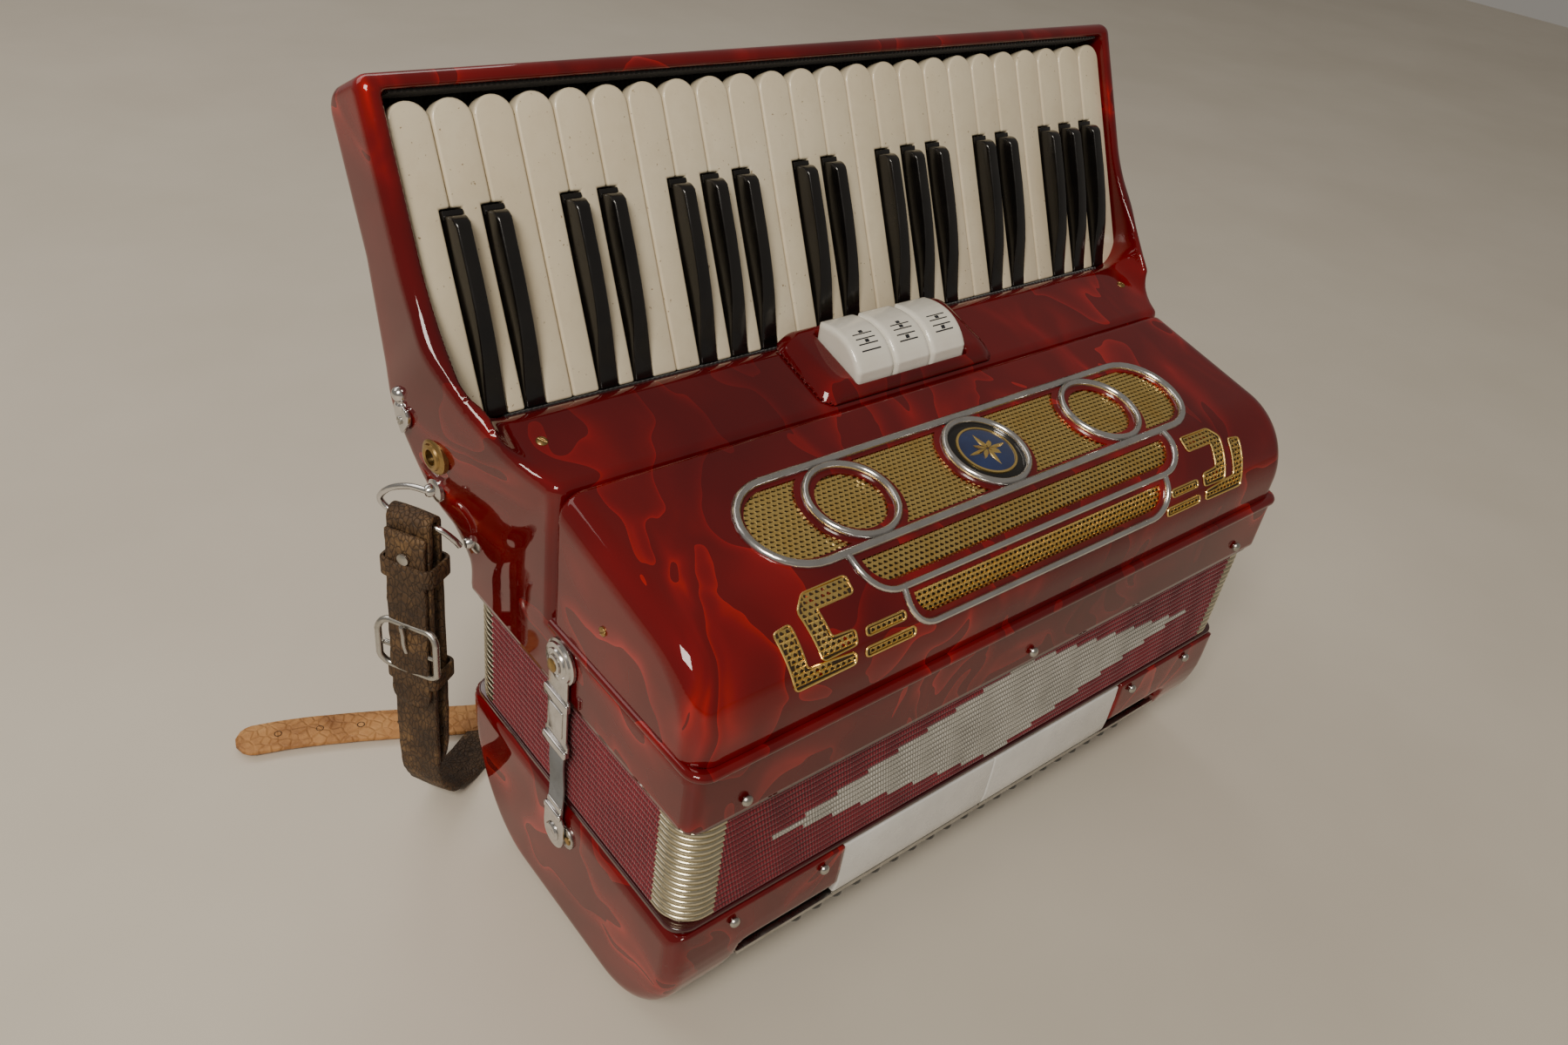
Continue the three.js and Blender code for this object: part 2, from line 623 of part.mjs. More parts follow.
const board = new THREE.Group();
board.position.set(0, BOARD_BACK[0], BOARD_BACK[1]);
board.rotation.x = Math.PI + Math.atan(boardSlope);
accordion.add(board);
addNode('bass_buttons', bassButtons(), BLACK, 0.25, 0, board);

// ---------------------------------------------------------------- bass register bars, air button, hand strap
const BAR_BOTTOM = 49;
const BAR_TOP = 88.8;
const BAR_FRONT = -99.6;
const BAR_BACK = -94.5;
const BAR_MEETING_X = 1.5;          // the two bars meet here
const BAR_MARGIN = 0.7;             // between the bars and their pocket's ends
[
  ['left', BAR_POCKET[0] + BAR_MARGIN, BAR_MEETING_X - GAP],
  ['right', BAR_MEETING_X + GAP, BAR_POCKET[1] - BAR_MARGIN],
].forEach(([side, x0, x1]) => {
  const shape = outline([
    [BAR_FRONT, BAR_TOP],
    [BAR_FRONT, BAR_BOTTOM + 3],
    [BAR_FRONT + 1.6, BAR_BOTTOM],
    [BAR_BACK, BAR_BOTTOM],
    [BAR_BACK, BAR_TOP],
  ]);
  addNode(`bass_register_bar_${side}`, alongX(shape, x0, x1), WHITE, 0.2);
});

const airTipTop = AIR_BUTTON.bottom + AIR_BUTTON.tip;
const airButton = join([
  airCylinder(AIR_BUTTON.radius, AIR_BUTTON.radius, airTipTop - 0.4, AIR_BUTTON.top),
  airCylinder(AIR_BUTTON.radius, AIR_BUTTON.tipRadius, AIR_BUTTON.bottom, airTipTop),
]);
addNode('air_button', airButton, BLACK, 0.3);

const HAND_STRAP = { halfX: 196, front: 6, back: 62, bottom: 4, top: 7 };
const handStrap = box(
  -HAND_STRAP.halfX,
  HAND_STRAP.halfX,
  HAND_STRAP.front,
  HAND_STRAP.back,
  HAND_STRAP.bottom,
  HAND_STRAP.top,
);
addNode('bass_strap', handStrap, LEATHER, 0.6);

// ---------------------------------------------------------------- bellows straps
const CLASP = { y: 2, top: 186, bottom: 71, bossRadius: 12, bossHeight: 6.5, width: 17, inner: 1, outer: 4 };

function bellowsStrap(side) {
  const half = CLASP.width / 2;
  const shape = new THREE.Shape();
  shape.moveTo(CLASP.y - half, CLASP.top);
  shape.lineTo(CLASP.y - half, CLASP.bottom);
  shape.absarc(CLASP.y, CLASP.bottom, half, Math.PI, Math.PI * 2, false);
  shape.lineTo(CLASP.y + half, CLASP.top);
  // x of two distances out from the case's end, the lower one first
  const outward = (...heights) => heights.map((height) => side * (BODY_HALF_X + height)).sort((a, b) => a - b);
  const [x0, x1] = outward(CLASP.inner, CLASP.outer);
  const [bossX0, bossX1] = outward(GAP, CLASP.bossHeight);
  const boss = rodAlongX(CLASP.bossRadius, bossX0, bossX1, CLASP.y, CLASP.top, 16);
  return alongX(shape, x0, x1, 8).add(boss);
}

addNode('bellows_strap_left', bellowsStrap(-1), CHROME, 0.2, 1);
addNode('bellows_strap_right', bellowsStrap(1), CHROME, 0.2, 1);

// ---------------------------------------------------------------- strap ring and shoulder strap
// the strap hangs over the ring's free bar; STRAP_ACROSS points along the bar, away from the player's front
const BAR_MIDDLE = new THREE.Vector3(-244.5, 106, 209.5);
const STRAP_ACROSS = new THREE.Vector3(-0.508, 0.861, 0).normalize();
const STRAP_FRONT = new THREE.Vector3().crossVectors(STRAP_ACROSS, axisZ).negate();
const RING_WIRE = 1.6;
const BAR_HALF_LENGTH = 14;
const FOLD_RADIUS = 3.9;            // middle of the leather, folded over the bar
const TAIL_BOTTOM = 0.9;            // the strap's end on the ground

function wire(points, radius, steps, sides) {
  const path = new THREE.CatmullRomCurve3(points, false, 'centripetal');
  const section = new THREE.Shape();
  section.absarc(0, 0, radius, 0, Math.PI * 2, false);
  return toSolid(new THREE.ExtrudeGeometry(section, {
    steps,
    extrudePath: path,
    bevelEnabled: false,
    curveSegments: sides / 2,
  }));
}

const onBar = (distance) => BAR_MIDDLE.clone().addScaledVector(STRAP_ACROSS, distance);
const ring = wire([
  new THREE.Vector3(-241, 96, 231),
  new THREE.Vector3(-246, 106, 229.5),
  new THREE.Vector3(-251.5, 116, 224),
  new THREE.Vector3(-254.5, 121.5, 216),
  onBar(BAR_HALF_LENGTH),
  onBar(0),
  onBar(-BAR_HALF_LENGTH),
  new THREE.Vector3(-233.5, 90, 204.5),
  new THREE.Vector3(-231.5, 89.5, 198),
], RING_WIRE, 30, 8);
addNode('strap_ring', ring, CHROME, 0.2, 1);

// both sides of a ribbon about a middle line, as one closed outline
function ribbon(middle, thickness) {
  const offset = (sign) => middle.map((point, index) => {
    const before = middle[Math.max(index - 1, 0)];
    const after = middle[Math.min(index + 1, middle.length - 1)];
    const length = Math.hypot(after[0] - before[0], after[1] - before[1]);
    const normal = [-(after[1] - before[1]) / length, (after[0] - before[0]) / length];
    return [point[0] + sign * normal[0] * thickness / 2, point[1] + sign * normal[1] * thickness / 2];
  });
  return outline([...offset(-1), ...offset(1).reverse()]);
}

function shoulderStrap() {
  // middle line of the hanging leather: distance towards the front, height
  const fold = [150, 120, 90, 60, 30].map((angle) => {
    const turn = THREE.MathUtils.degToRad(angle);
    return [FOLD_RADIUS * Math.cos(turn), BAR_MIDDLE.z + FOLD_RADIUS * Math.sin(turn)];
  });
  const middle = [
    [2.2, 46], [-2.6, 60], [-FOLD_RADIUS, 110], [-FOLD_RADIUS, BAR_MIDDLE.z], ...fold,
    [FOLD_RADIUS, BAR_MIDDLE.z], [5.5, 120], [6, 60], [4, 34], [-6, 15], [-24, 5], [-40, 2.5], [-62, 2.5],
  ];
  const geometry = extrude(ribbon(middle, STRAP_THICKNESS), STRAP_WIDTH);
  geometry.applyMatrix4(new THREE.Matrix4().makeBasis(STRAP_FRONT, axisZ, STRAP_ACROSS));
  const start = BAR_MIDDLE.clone().setZ(0).addScaledVector(STRAP_ACROSS, -STRAP_WIDTH / 2);
  const hanging = toSolid(geometry.translate(start.x, start.y, 0));
  // the strap's end lies on the ground beside the case
  const tailMiddle = [[-176, 148], [-205, 161], [-258, 186], [-321, 208]];
  const tail = alongZ(ribbon(tailMiddle, STRAP_WIDTH), TAIL_BOTTOM, TAIL_BOTTOM + STRAP_THICKNESS);
  return hanging.add(tail);
}

addNode('shoulder_strap', shoulderStrap(), LEATHER, 0.65);

export default accordion;
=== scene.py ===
import functools
import math
import random

import bmesh
import bpy
import numpy as np
from mathutils import Matrix, Vector
from mathutils.geometry import delaunay_2d_cdt


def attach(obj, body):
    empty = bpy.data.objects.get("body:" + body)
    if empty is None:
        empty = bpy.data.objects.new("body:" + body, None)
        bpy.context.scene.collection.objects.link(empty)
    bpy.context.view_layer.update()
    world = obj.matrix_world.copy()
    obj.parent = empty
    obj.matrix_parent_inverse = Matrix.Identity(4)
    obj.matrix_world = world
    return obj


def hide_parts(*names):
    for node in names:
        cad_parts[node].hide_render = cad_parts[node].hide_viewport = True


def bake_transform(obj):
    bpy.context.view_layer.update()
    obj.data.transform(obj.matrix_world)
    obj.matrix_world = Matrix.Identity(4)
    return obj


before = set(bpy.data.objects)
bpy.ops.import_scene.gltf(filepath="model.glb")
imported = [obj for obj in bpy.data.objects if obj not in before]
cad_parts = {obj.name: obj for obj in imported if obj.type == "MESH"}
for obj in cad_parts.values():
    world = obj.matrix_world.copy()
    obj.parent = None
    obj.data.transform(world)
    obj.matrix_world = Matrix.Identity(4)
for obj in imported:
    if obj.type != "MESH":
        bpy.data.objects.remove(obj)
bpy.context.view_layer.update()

MM = 0.001

# ---------------------------------------------------------------- driving dimensions, in millimetres
BODY_HALF_X = 220
BODY_HALF_Y = 101
KEYBOARD_HALF_X = 248
BASS_TOP = 90
TREBLE_BOTTOM = 164
DECK_TOP = 200

KEYS_Y = 70
KEYS_Z = 284
KEYS_TILT = math.radians(63.6)
COS_TILT = math.cos(KEYS_TILT)
SIN_TILT = math.sin(KEYS_TILT)
WHITE_COUNT = 24
WHITE_PITCH = 19.8
WHITE_WIDTH = 19.2
WHITE_LENGTH = 135
KEY_THICKNESS = 9
BLACK_WIDTH = 10.4
BLACK_LENGTH = 87
KEY_WELL_HALF_X = 238.4
KEY_WELL_END = 139.5
KEY_BED = -15
CHEEK_RISE = 5
KEYBOARD_DEPTH = 38

LEDGE_FRONT = (15, 272.5)
LEDGE_BACK = (68, 287)
LEDGE_SLOPE = (LEDGE_BACK[1] - LEDGE_FRONT[1]) / (LEDGE_BACK[0] - LEDGE_FRONT[0])

GRILLE_BACK = 13.6
GRILLE_ROUND_START = (-64, 256)
GRILLE_FRONT = -99.5
GRILLE_RADIUS = 45
GRILLE_SLOPE = (LEDGE_FRONT[1] - GRILLE_ROUND_START[1]) / (GRILLE_BACK - GRILLE_ROUND_START[0])
GRILLE_ANGLE = math.atan(GRILLE_SLOPE)
GRILLE_COS, GRILLE_SIN = math.cos(GRILLE_ANGLE), math.sin(GRILLE_ANGLE)
GRILLE_CENTRE = (GRILLE_FRONT + GRILLE_RADIUS, GRILLE_ROUND_START[1] - GRILLE_RADIUS * GRILLE_COS)
# where the cover's sloping top ends, and how long the rounding after it is along the skin
SLOPE_END = (GRILLE_CENTRE[0] - GRILLE_RADIUS * GRILLE_SIN, GRILLE_CENTRE[1] + GRILLE_RADIUS * GRILLE_COS)
ROUND_LENGTH = GRILLE_RADIUS * (math.pi / 2 - GRILLE_ANGLE)


def ledge_z(y):
    return LEDGE_FRONT[1] + (y - LEDGE_FRONT[0]) * LEDGE_SLOPE


def from_keyboard(x, along, normal):
    """A point of the keyboard's tilted frame: along runs from the ledge to the key tips."""
    y = KEYS_Y + along * COS_TILT - normal * SIN_TILT
    return (x, y, KEYS_Z + along * SIN_TILT + normal * COS_TILT)


# ---------------------------------------------------------------- materials
class Material:
    """A node material built step by step, with its principled shader at hand."""

    def __init__(self, name, **sockets):
        self.material = bpy.data.materials.new(name)
        self.material.use_nodes = True
        self.nodes = self.material.node_tree.nodes
        self.shader = self.nodes["Principled BSDF"]
        self.position = self.nodes.new("ShaderNodeTexCoord").outputs["Object"]
        self.join(**sockets)

    def give(self, socket, value):
        """Links an input to an output, or sets its own value."""
        if isinstance(value, bpy.types.NodeSocket):
            self.material.node_tree.links.new(value, socket)
        else:
            socket.default_value = value

    def join(self, **sockets):
        """Gives the shader its inputs; an underscore stands for the blank in a socket's name."""
        for name, value in sockets.items():
            self.give(self.shader.inputs[name.replace("_", " ")], value)

    def node(self, kind, inputs, **settings):
        node = self.nodes.new("ShaderNode" + kind)
        for name, value in settings.items():
            setattr(node, name, value)
        for name, value in inputs.items():
            self.give(node.inputs[name], value)
        return node

    def place(self, scale=(1, 1, 1), rotation=(0, 0, 0), vector=None):
        inputs = {"Vector": vector or self.position, "Scale": scale, "Rotation": rotation}
        return self.node("Mapping", inputs).outputs["Vector"]

    def noise(self, scale, detail=4, rough=0.55, distortion=0, vector=None, output="Fac"):
        inputs = {"Vector": vector or self.position, "Scale": scale, "Detail": detail,
                  "Roughness": rough, "Distortion": distortion}
        return self.node("TexNoise", inputs).outputs[output]

    def wave(self, scale, vector, distortion, **more):
        inputs = {"Vector": vector, "Scale": scale, "Distortion": distortion, **more}
        return self.node("TexWave", inputs).outputs["Fac"]

    def ramp(self, value, *stops):
        """A colour ramp through (position, colour) stops."""
        ramp = self.node("ValToRGB", {"Fac": value})
        elements = ramp.color_ramp.elements
        while len(elements) < len(stops):
            elements.new(0.5)
        for element, (position, color) in zip(elements, stops):
            element.position = position
            element.color = (*color, 1)
        return ramp.outputs["Color"]

    def scale_to(self, value, low, high, from_low=0, from_high=1):
        return self.node("MapRange", {
            "Value": value, "From Min": from_low, "From Max": from_high, "To Min": low, "To Max": high,
        }).outputs["Result"]

    def math(self, operation, a, b):
        return self.node("Math", {0: a, 1: b}, operation=operation).outputs[0]

    def add(self, a, b):
        return self.math("ADD", a, b)

    def times(self, a, b):
        return self.math("MULTIPLY", a, b)

    def power(self, a, b):
        return self.math("POWER", a, b)

    def mix(self, factor, a, b):
        """Colour a passing into colour b; each is an output or (red, green, blue)."""
        a, b = (value if isinstance(value, bpy.types.NodeSocket) else (*value, 1) for value in (a, b))
        return self.node("Mix", {0: factor, 6: a, 7: b}, data_type="RGBA").outputs[2]

    def bump(self, height, strength, distance):
        inputs = {"Height": height, "Strength": strength, "Distance": distance}
        return self.node("Bump", inputs).outputs["Normal"]


def pearloid():
    """Red pearl celluloid: cherry ground, glowing folded flames, a clear gloss over all."""
    m = Material("pearloid_red", Coat_Weight=1.0, Coat_IOR=1.5, Specular_IOR_Level=0.0)
    # the position is bent by a slow noise, so that the folds curl
    bent = m.noise(11.0, 2.5, 0.5, output="Color")
    shift = m.node("VectorMath", {0: bent, 1: (0.5, 0.5, 0.5)}, operation="SUBTRACT").outputs[0]
    shift = m.node("VectorMath", {0: shift, "Scale": 0.075}, operation="SCALE").outputs[0]
    moved = m.node("VectorMath", {0: m.position, 1: shift}, operation="ADD").outputs[0]
    folds = m.noise(17.0, 2.0, 0.5, 0.8, m.place((1.0, 0.42, 0.75), (0.5, 0.3, 0.9), moved))
    cells = m.node("TexVoronoi", {"Vector": moved, "Scale": 20.0, "Randomness": 1.0}).outputs["Distance"]
    wide = m.scale_to(m.noise(9.0, 2, 0.5), 0.0, 1.0, 0.38, 0.62)
    # a fold is bright along one edge and fades into the dark ground behind it
    rise = m.math("SUBTRACT", 1.0, m.math("FRACT", m.times(folds, 5.0), 0.0))
    flame = m.times(m.power(rise, 2.6), m.scale_to(wide, 0.12, 0.42))
    edge = m.times(m.power(rise, 14.0), m.scale_to(wide, 0.04, 0.24))
    glow = m.add(m.add(flame, edge), m.times(wide, 0.16))
    color = m.ramp(
        glow,
        (0.0, (0.078, 0.0016, 0.0028)),
        (0.16, (0.125, 0.0022, 0.0034)),
        (0.42, (0.215, 0.0035, 0.0045)),
        (0.75, (0.400, 0.0070, 0.0070)),
        (1.0, (0.700, 0.0200, 0.0140)),
    )
    # the pearl layer answers the light more in the bright folds
    tilt = m.add(m.times(cells, 0.5), m.times(folds, 0.8))
    m.join(Base_Color=color, Metallic=m.scale_to(glow, 0.0, 0.55),
           Roughness=m.scale_to(glow, 0.50, 0.34), Normal=m.bump(tilt, 0.35, 0.006))
    scratches = m.noise(420.0, 2, 0.5, vector=m.place((1.0, 0.08, 0.3), (0.4, 0.2, 0.7)))
    wear = m.scale_to(scratches, 0.0, 1.0, 0.66, 0.74)
    m.join(Coat_Roughness=m.add(m.times(wear, 0.10), 0.035))
    return m.material


def key_cream():
    """Aged celluloid of the white keys: uneven tone, grime and dark specks."""
    m = Material("key_cream", IOR=1.5, Coat_Weight=0.45, Coat_Roughness=0.12)
    grime = m.noise(90.0, 5, 0.7)
    specks = m.scale_to(m.noise(520.0, 2, 0.5), 1.0, 0.0, 0.70, 0.76)
    base = m.ramp(m.noise(7.0, 4, 0.6), (0.3, (0.70, 0.61, 0.43)), (0.55, (0.76, 0.68, 0.50)),
                  (0.8, (0.80, 0.73, 0.57)))
    aged = m.mix(m.scale_to(grime, 0.0, 0.35, 0.45, 0.8), base, (0.60, 0.50, 0.33))
    m.join(Base_Color=m.mix(specks, (0.30, 0.22, 0.12), aged), Roughness=m.scale_to(grime, 0.22, 0.42),
           Normal=m.bump(m.noise(160.0, 3, 0.5), 0.06, 0.002))
    return m.material


def gloss(name, color, roughness, other, coat=0.6):
    """Moulded or lacquered plastic with faint mottling, dust and rubbed spots."""
    m = Material(name, IOR=1.5, Coat_Weight=coat, Coat_Roughness=0.06)
    mottle = m.scale_to(m.noise(36.0, 4, 0.6), 0.0, 1.0, 0.35, 0.75)
    rubbed = m.scale_to(m.noise(55.0, 5, 0.65), roughness, roughness + 0.16, 0.35, 0.75)
    m.join(Base_Color=m.mix(mottle, color, other), Roughness=rubbed,
           Normal=m.bump(m.noise(240.0, 3, 0.5), 0.05, 0.001))
    return m.material


def metal(name, color, dull, roughness=0.16, wear=0.5):
    """Plated metal with tarnish in patches and fine rubbing marks."""
    m = Material(name, Metallic=1.0)
    patches = m.noise(75.0, 5, 0.7)
    marks = m.noise(600.0, 2, 0.5, vector=m.place((1, 0.15, 1)))
    m.join(Base_Color=m.mix(m.scale_to(patches, 0.0, wear, 0.45, 0.72), color, dull),
           Roughness=m.scale_to(patches, roughness, roughness + 0.22, 0.40, 0.75),
           Normal=m.bump(marks, 0.08, 0.0006))
    return m.material


def cloth(name, dark, light, weave=308.0, rough=0.8, strength=0.35):
    """Fine cloth: two crossing sets of threads, with worn lighter spots."""
    m = Material(name, Roughness=rough, Sheen_Weight=0.25, Sheen_Roughness=0.4)
    turns = ((0.0, 0.6, 0.78), (0.3, -0.7, -0.78))
    threads = m.times(*(m.wave(weave, m.place(rotation=turn), 0.8) for turn in turns))
    tone = m.add(m.times(threads, 0.6), m.times(m.noise(26.0, 4, 0.6), 0.5))
    m.join(Base_Color=m.ramp(tone, (0.15, dark), (0.8, light)), Normal=m.bump(threads, strength, 0.0012))
    return m.material


def leather(name, dark, mid, light, crack_scale=420.0, cracks=0.8):
    """Old leather: pores, creases and cracks with lighter worn edges."""
    m = Material(name, IOR=1.45)
    crackle = m.node("TexVoronoi", {"Vector": m.place((1.0, 1.0, 0.45)), "Scale": crack_scale},
                     feature="DISTANCE_TO_EDGE").outputs["Distance"]
    crack = m.times(m.scale_to(crackle, 1.0, 0.0, 0.0, 0.12), cracks)
    patches = m.noise(48.0, 5, 0.7)
    body = m.ramp(patches, (0.3, dark), (0.52, mid), (0.75, light))
    height = m.add(m.scale_to(crackle, 0.0, 1.0, 0.0, 0.15), m.times(m.noise(700.0, 3), 0.4))
    m.join(Base_Color=m.mix(crack, body, dark), Roughness=m.scale_to(patches, 0.42, 0.8),
           Normal=m.bump(height, 0.5, 0.0012))
    return m.material


def wood():
    m = Material("reed_wood", Roughness=0.6)
    rings = m.wave(22.0, m.place((0.25, 1, 1)), 3.5, **{"Detail": 3.0, "Detail Scale": 1.4})
    m.join(Base_Color=m.ramp(rings, (0.1, (0.30, 0.17, 0.07)), (0.9, (0.52, 0.34, 0.17))),
           Normal=m.bump(rings, 0.2, 0.001))
    return m.material


RED = pearloid()
CREAM = key_cream()
BLACK = gloss("key_black", (0.003, 0.0025, 0.0025), 0.16, (0.007, 0.006, 0.005), coat=0.25)
WHITE = gloss("switch_white", (0.80, 0.78, 0.70), 0.14, (0.72, 0.69, 0.60))
BAR_WHITE = gloss("bar_white", (0.74, 0.74, 0.72), 0.22, (0.62, 0.62, 0.60))
BUTTON_BLACK = gloss("button_black", (0.012, 0.013, 0.014), 0.2, (0.03, 0.032, 0.034))
# black of the button board, also painted shade in the socket's bore
BOARD_BLACK_AND_BORE_SHADE = gloss("board_black_and_bore_shade", (0.010, 0.009, 0.009), 0.35, (0.022, 0.018, 0.016), coat=0.2)
INK = gloss("mark_ink", (0.010, 0.012, 0.016), 0.35, (0.03, 0.03, 0.04), coat=0.1)
# dark wine gloss of the bellows frames, also painted shade in the deep gaps between the bellows folds
DARK_RED = gloss("frame_wine_and_gap_shade", (0.050, 0.004, 0.006), 0.16, (0.020, 0.002, 0.003))
CHROME = metal("chrome", (0.66, 0.65, 0.64), (0.40, 0.38, 0.36), 0.12)
GREY_METAL = metal("worn_nickel", (0.50, 0.49, 0.46), (0.28, 0.26, 0.22), 0.24, 0.7)
CORNER_METAL = metal("corner_nickel", (0.62, 0.57, 0.42), (0.36, 0.31, 0.19), 0.16, 0.6)
GOLD = metal("mesh_gold", (0.98, 0.72, 0.26), (0.62, 0.40, 0.11), 0.22, 0.6)
BRASS = metal("brass", (0.42, 0.28, 0.11), (0.17, 0.11, 0.05), 0.30, 0.9)
MESH_DARK = gloss("mesh_backing", (0.012, 0.006, 0.003), 0.6, (0.03, 0.014, 0.006), coat=0.0)
WINE_CLOTH = cloth("bellows_cloth", (0.055, 0.004, 0.008), (0.30, 0.020, 0.032))
SILVER_CLOTH = cloth("silver_cloth", (0.20, 0.19, 0.16), (0.62, 0.60, 0.53), rough=0.55, strength=0.5)
FELT = cloth("black_felt", (0.004, 0.004, 0.004), (0.020, 0.018, 0.018), 196.0, 0.95)
BAND_CLOTH = metal("woven_band", (0.42, 0.42, 0.41), (0.22, 0.22, 0.21), 0.34, 0.6)
LEATHER_DARK = leather("leather_dark", (0.020, 0.010, 0.005), (0.085, 0.046, 0.020), (0.26, 0.15, 0.062))
LEATHER_TAN = leather("leather_tan", (0.26, 0.11, 0.035), (0.50, 0.24, 0.082), (0.62, 0.34, 0.13), 160.0, 0.25)
WOOD = wood()


# ---------------------------------------------------------------- making meshes
def publish(name, vertices, faces, materials, body, slot=None, replaces=(), smooth=True, indices=None):
    """A mesh given in millimetres becomes a named piece that rides on a body."""
    mesh = bpy.data.meshes.new(name)
    scaled = (np.asarray(vertices, float) * MM).tolist()
    mesh.from_pydata(scaled, [], [tuple(int(i) for i in face) for face in faces])
    for material in materials if isinstance(materials, list) else [materials]:
        mesh.materials.append(material)
    if indices is not None:
        mesh.polygons.foreach_set("material_index", np.asarray(indices, np.int32))
    mesh.polygons.foreach_set("use_smooth", np.full(len(mesh.polygons), smooth))
    mesh.update()
    piece = bpy.data.objects.new(name, mesh)
    bpy.context.scene.collection.objects.link(piece)
    if body:
        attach(piece, body)
    if replaces:
        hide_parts(*replaces)
    return piece


def shade(piece, angle=40):
    """Smooth shading, with sharp edges where faces meet at more than angle degrees."""
    mesh = piece.data
    mesh.polygons.foreach_set("use_smooth", np.ones(len(mesh.polygons), bool))
    mesh.set_sharp_from_angle(angle=math.radians(angle))


def apply_modifiers(piece):
    """Bakes the modifiers in, so that the piece's mesh is its final one."""
    bpy.context.view_layer.update()
    graph = bpy.context.evaluated_depsgraph_get()
    mesh = bpy.data.meshes.new_from_object(piece.evaluated_get(graph))
    old = piece.data
    piece.modifiers.clear()
    piece.data = mesh
    bpy.data.meshes.remove(old)


def bevel(piece, width, segments=3, angle=30):
    """Rounds the sharp edges of a piece and shades it smooth across the roundings."""
    modifier = piece.modifiers.new("rounding", "BEVEL")
    modifier.width = width * MM
    modifier.segments = segments
    modifier.limit_method = "ANGLE"
    modifier.angle_limit = math.radians(angle)
    modifier.harden_normals = False
    apply_modifiers(piece)
    shade(piece, 35)


def thicken(piece, thickness):
    modifier = piece.modifiers.new("thickness", "SOLIDIFY")
    modifier.thickness = thickness * MM
    modifier.offset = 0
    apply_modifiers(piece)


def weld(piece, distance):
    """Joins points that lie closer together than distance."""
    mesh = bmesh.new()
    mesh.from_mesh(piece.data)
    bmesh.ops.remove_doubles(mesh, verts=mesh.verts, dist=distance * MM)
    bmesh.ops.recalc_face_normals(mesh, faces=mesh.faces)
    mesh.to_mesh(piece.data)
    mesh.free()


def outward(vertices, faces):
    """Turns the faces of a closed mesh so that they look outward."""
    mesh = bmesh.new()
    made = [mesh.verts.new(v) for v in vertices]
    for face in faces:
        mesh.faces.new([made[i] for i in face])
    bmesh.ops.recalc_face_normals(mesh, faces=mesh.faces)
    mesh.verts.index_update()
    result = [tuple(v.index for v in face.verts) for face in mesh.faces]
    mesh.free()
    return vertices, result


def ring_faces(rows, count, closed=False):
    """Faces between rows of count points each: the last row joins the first, or both ends are capped."""
    faces = []
    for row in range(rows if closed else rows - 1):
        low, high = row * count, (row + 1) % rows * count
        for k in range(count):
            following = (k + 1) % count
            faces.append((low + k, low + following, high + following, high + k))
    if not closed:
        faces += [tuple(range(count))[::-1], tuple(range((rows - 1) * count, rows * count))]
    return faces


def prism(outline, low, high, place):
    """An outline swept from low to high; place(a, b, c) gives each point."""
    vertices = [place(a, b, c) for c in (low, high) for a, b in outline]
    return vertices, ring_faces(2, len(outline))


def prism_piece(name, outline, low, high, place, material, body, rounding, segments=3, angle=30, **options):
    """A prism with its edges of more than angle degrees rounded."""
    piece = publish(name, *outward(*prism(outline, low, high, place)), material, body, **options)
    bevel(piece, rounding, segments, angle)


def joined(name, parts, material, body, **options):
    """Several (vertices, faces) as one piece."""
    vertices, faces = [], []
    for part_vertices, part_faces in parts:
        start = len(vertices)
        vertices += list(part_vertices)
        faces += [tuple(start + i for i in face) for face in part_faces]
    shade(publish(name, vertices, faces, material, body, **options))


def in_x(a, b, c):
    return (c, a, b)


def in_z(a, b, c):
    return (a, b, c)


def box_outline(a0, a1, b0, b1):
    return [(a0, b0), (a1, b0), (a1, b1), (a0, b1)]


def circle(radius, sides):
    turns = [2 * math.pi * k / sides for k in range(sides)]
    return [(radius * math.cos(turn), radius * math.sin(turn)) for turn in turns]


def arc(centre, radius, start, end, steps, radius_b=None):
    """Points of an arc in degrees, both ends included; radius_b is its second half axis."""
    points = []
    for step in range(steps + 1):
        turn = math.radians(start + (end - start) * step / steps)
        b = centre[1] + (radius_b or radius) * math.sin(turn)
        points.append((centre[0] + radius * math.cos(turn), b))
    return points


# the corners of a rectangle, counter-clockwise: the signs of a and b, and the direction its arc starts in
CORNERS = ((1, -1, -90), (1, 1, 0), (-1, 1, 90), (-1, -1, 180))


def rounded_box(half_a, half_b, radius, steps=8):
    """Outline of a rounded rectangle about the origin."""
    points = []
    for sign_a, sign_b, start in CORNERS:
        centre = (sign_a * (half_a - radius), sign_b * (half_b - radius))
        points += arc(centre, radius, start, start + 90, steps)
    return points


def mirrored(half):
    """A symmetric outline from its right half."""
    return half + [(-a, b) for a, b in reversed(half)]


def area_twice(outline):
    """Twice the signed area, positive when the outline runs counter-clockwise."""
    return sum(a[0] * b[1] - b[0] * a[1] for a, b in zip(outline, outline[1:] + outline[:1]))


def smooth_path(points, per_span):
    """A Catmull-Rom curve through 3-D points."""
    given = [np.array(p, float) for p in points]
    last = len(given) - 1
    result = []
    for i in range(last):
        p1, p2 = given[i], given[i + 1]
        p0 = given[i - 1] if i > 0 else 2 * p1 - p2
        p3 = given[i + 2] if i + 1 < last else 2 * p2 - p1
        for step in range(per_span):
            t = step / per_span
            bend = (2 * p0 - 5 * p1 + 4 * p2 - p3) * t ** 2 + (3 * p1 - p0 - 3 * p2 + p3) * t ** 3
            result.append(0.5 * (2 * p1 + (p2 - p0) * t + bend))
    return result + [given[-1]]


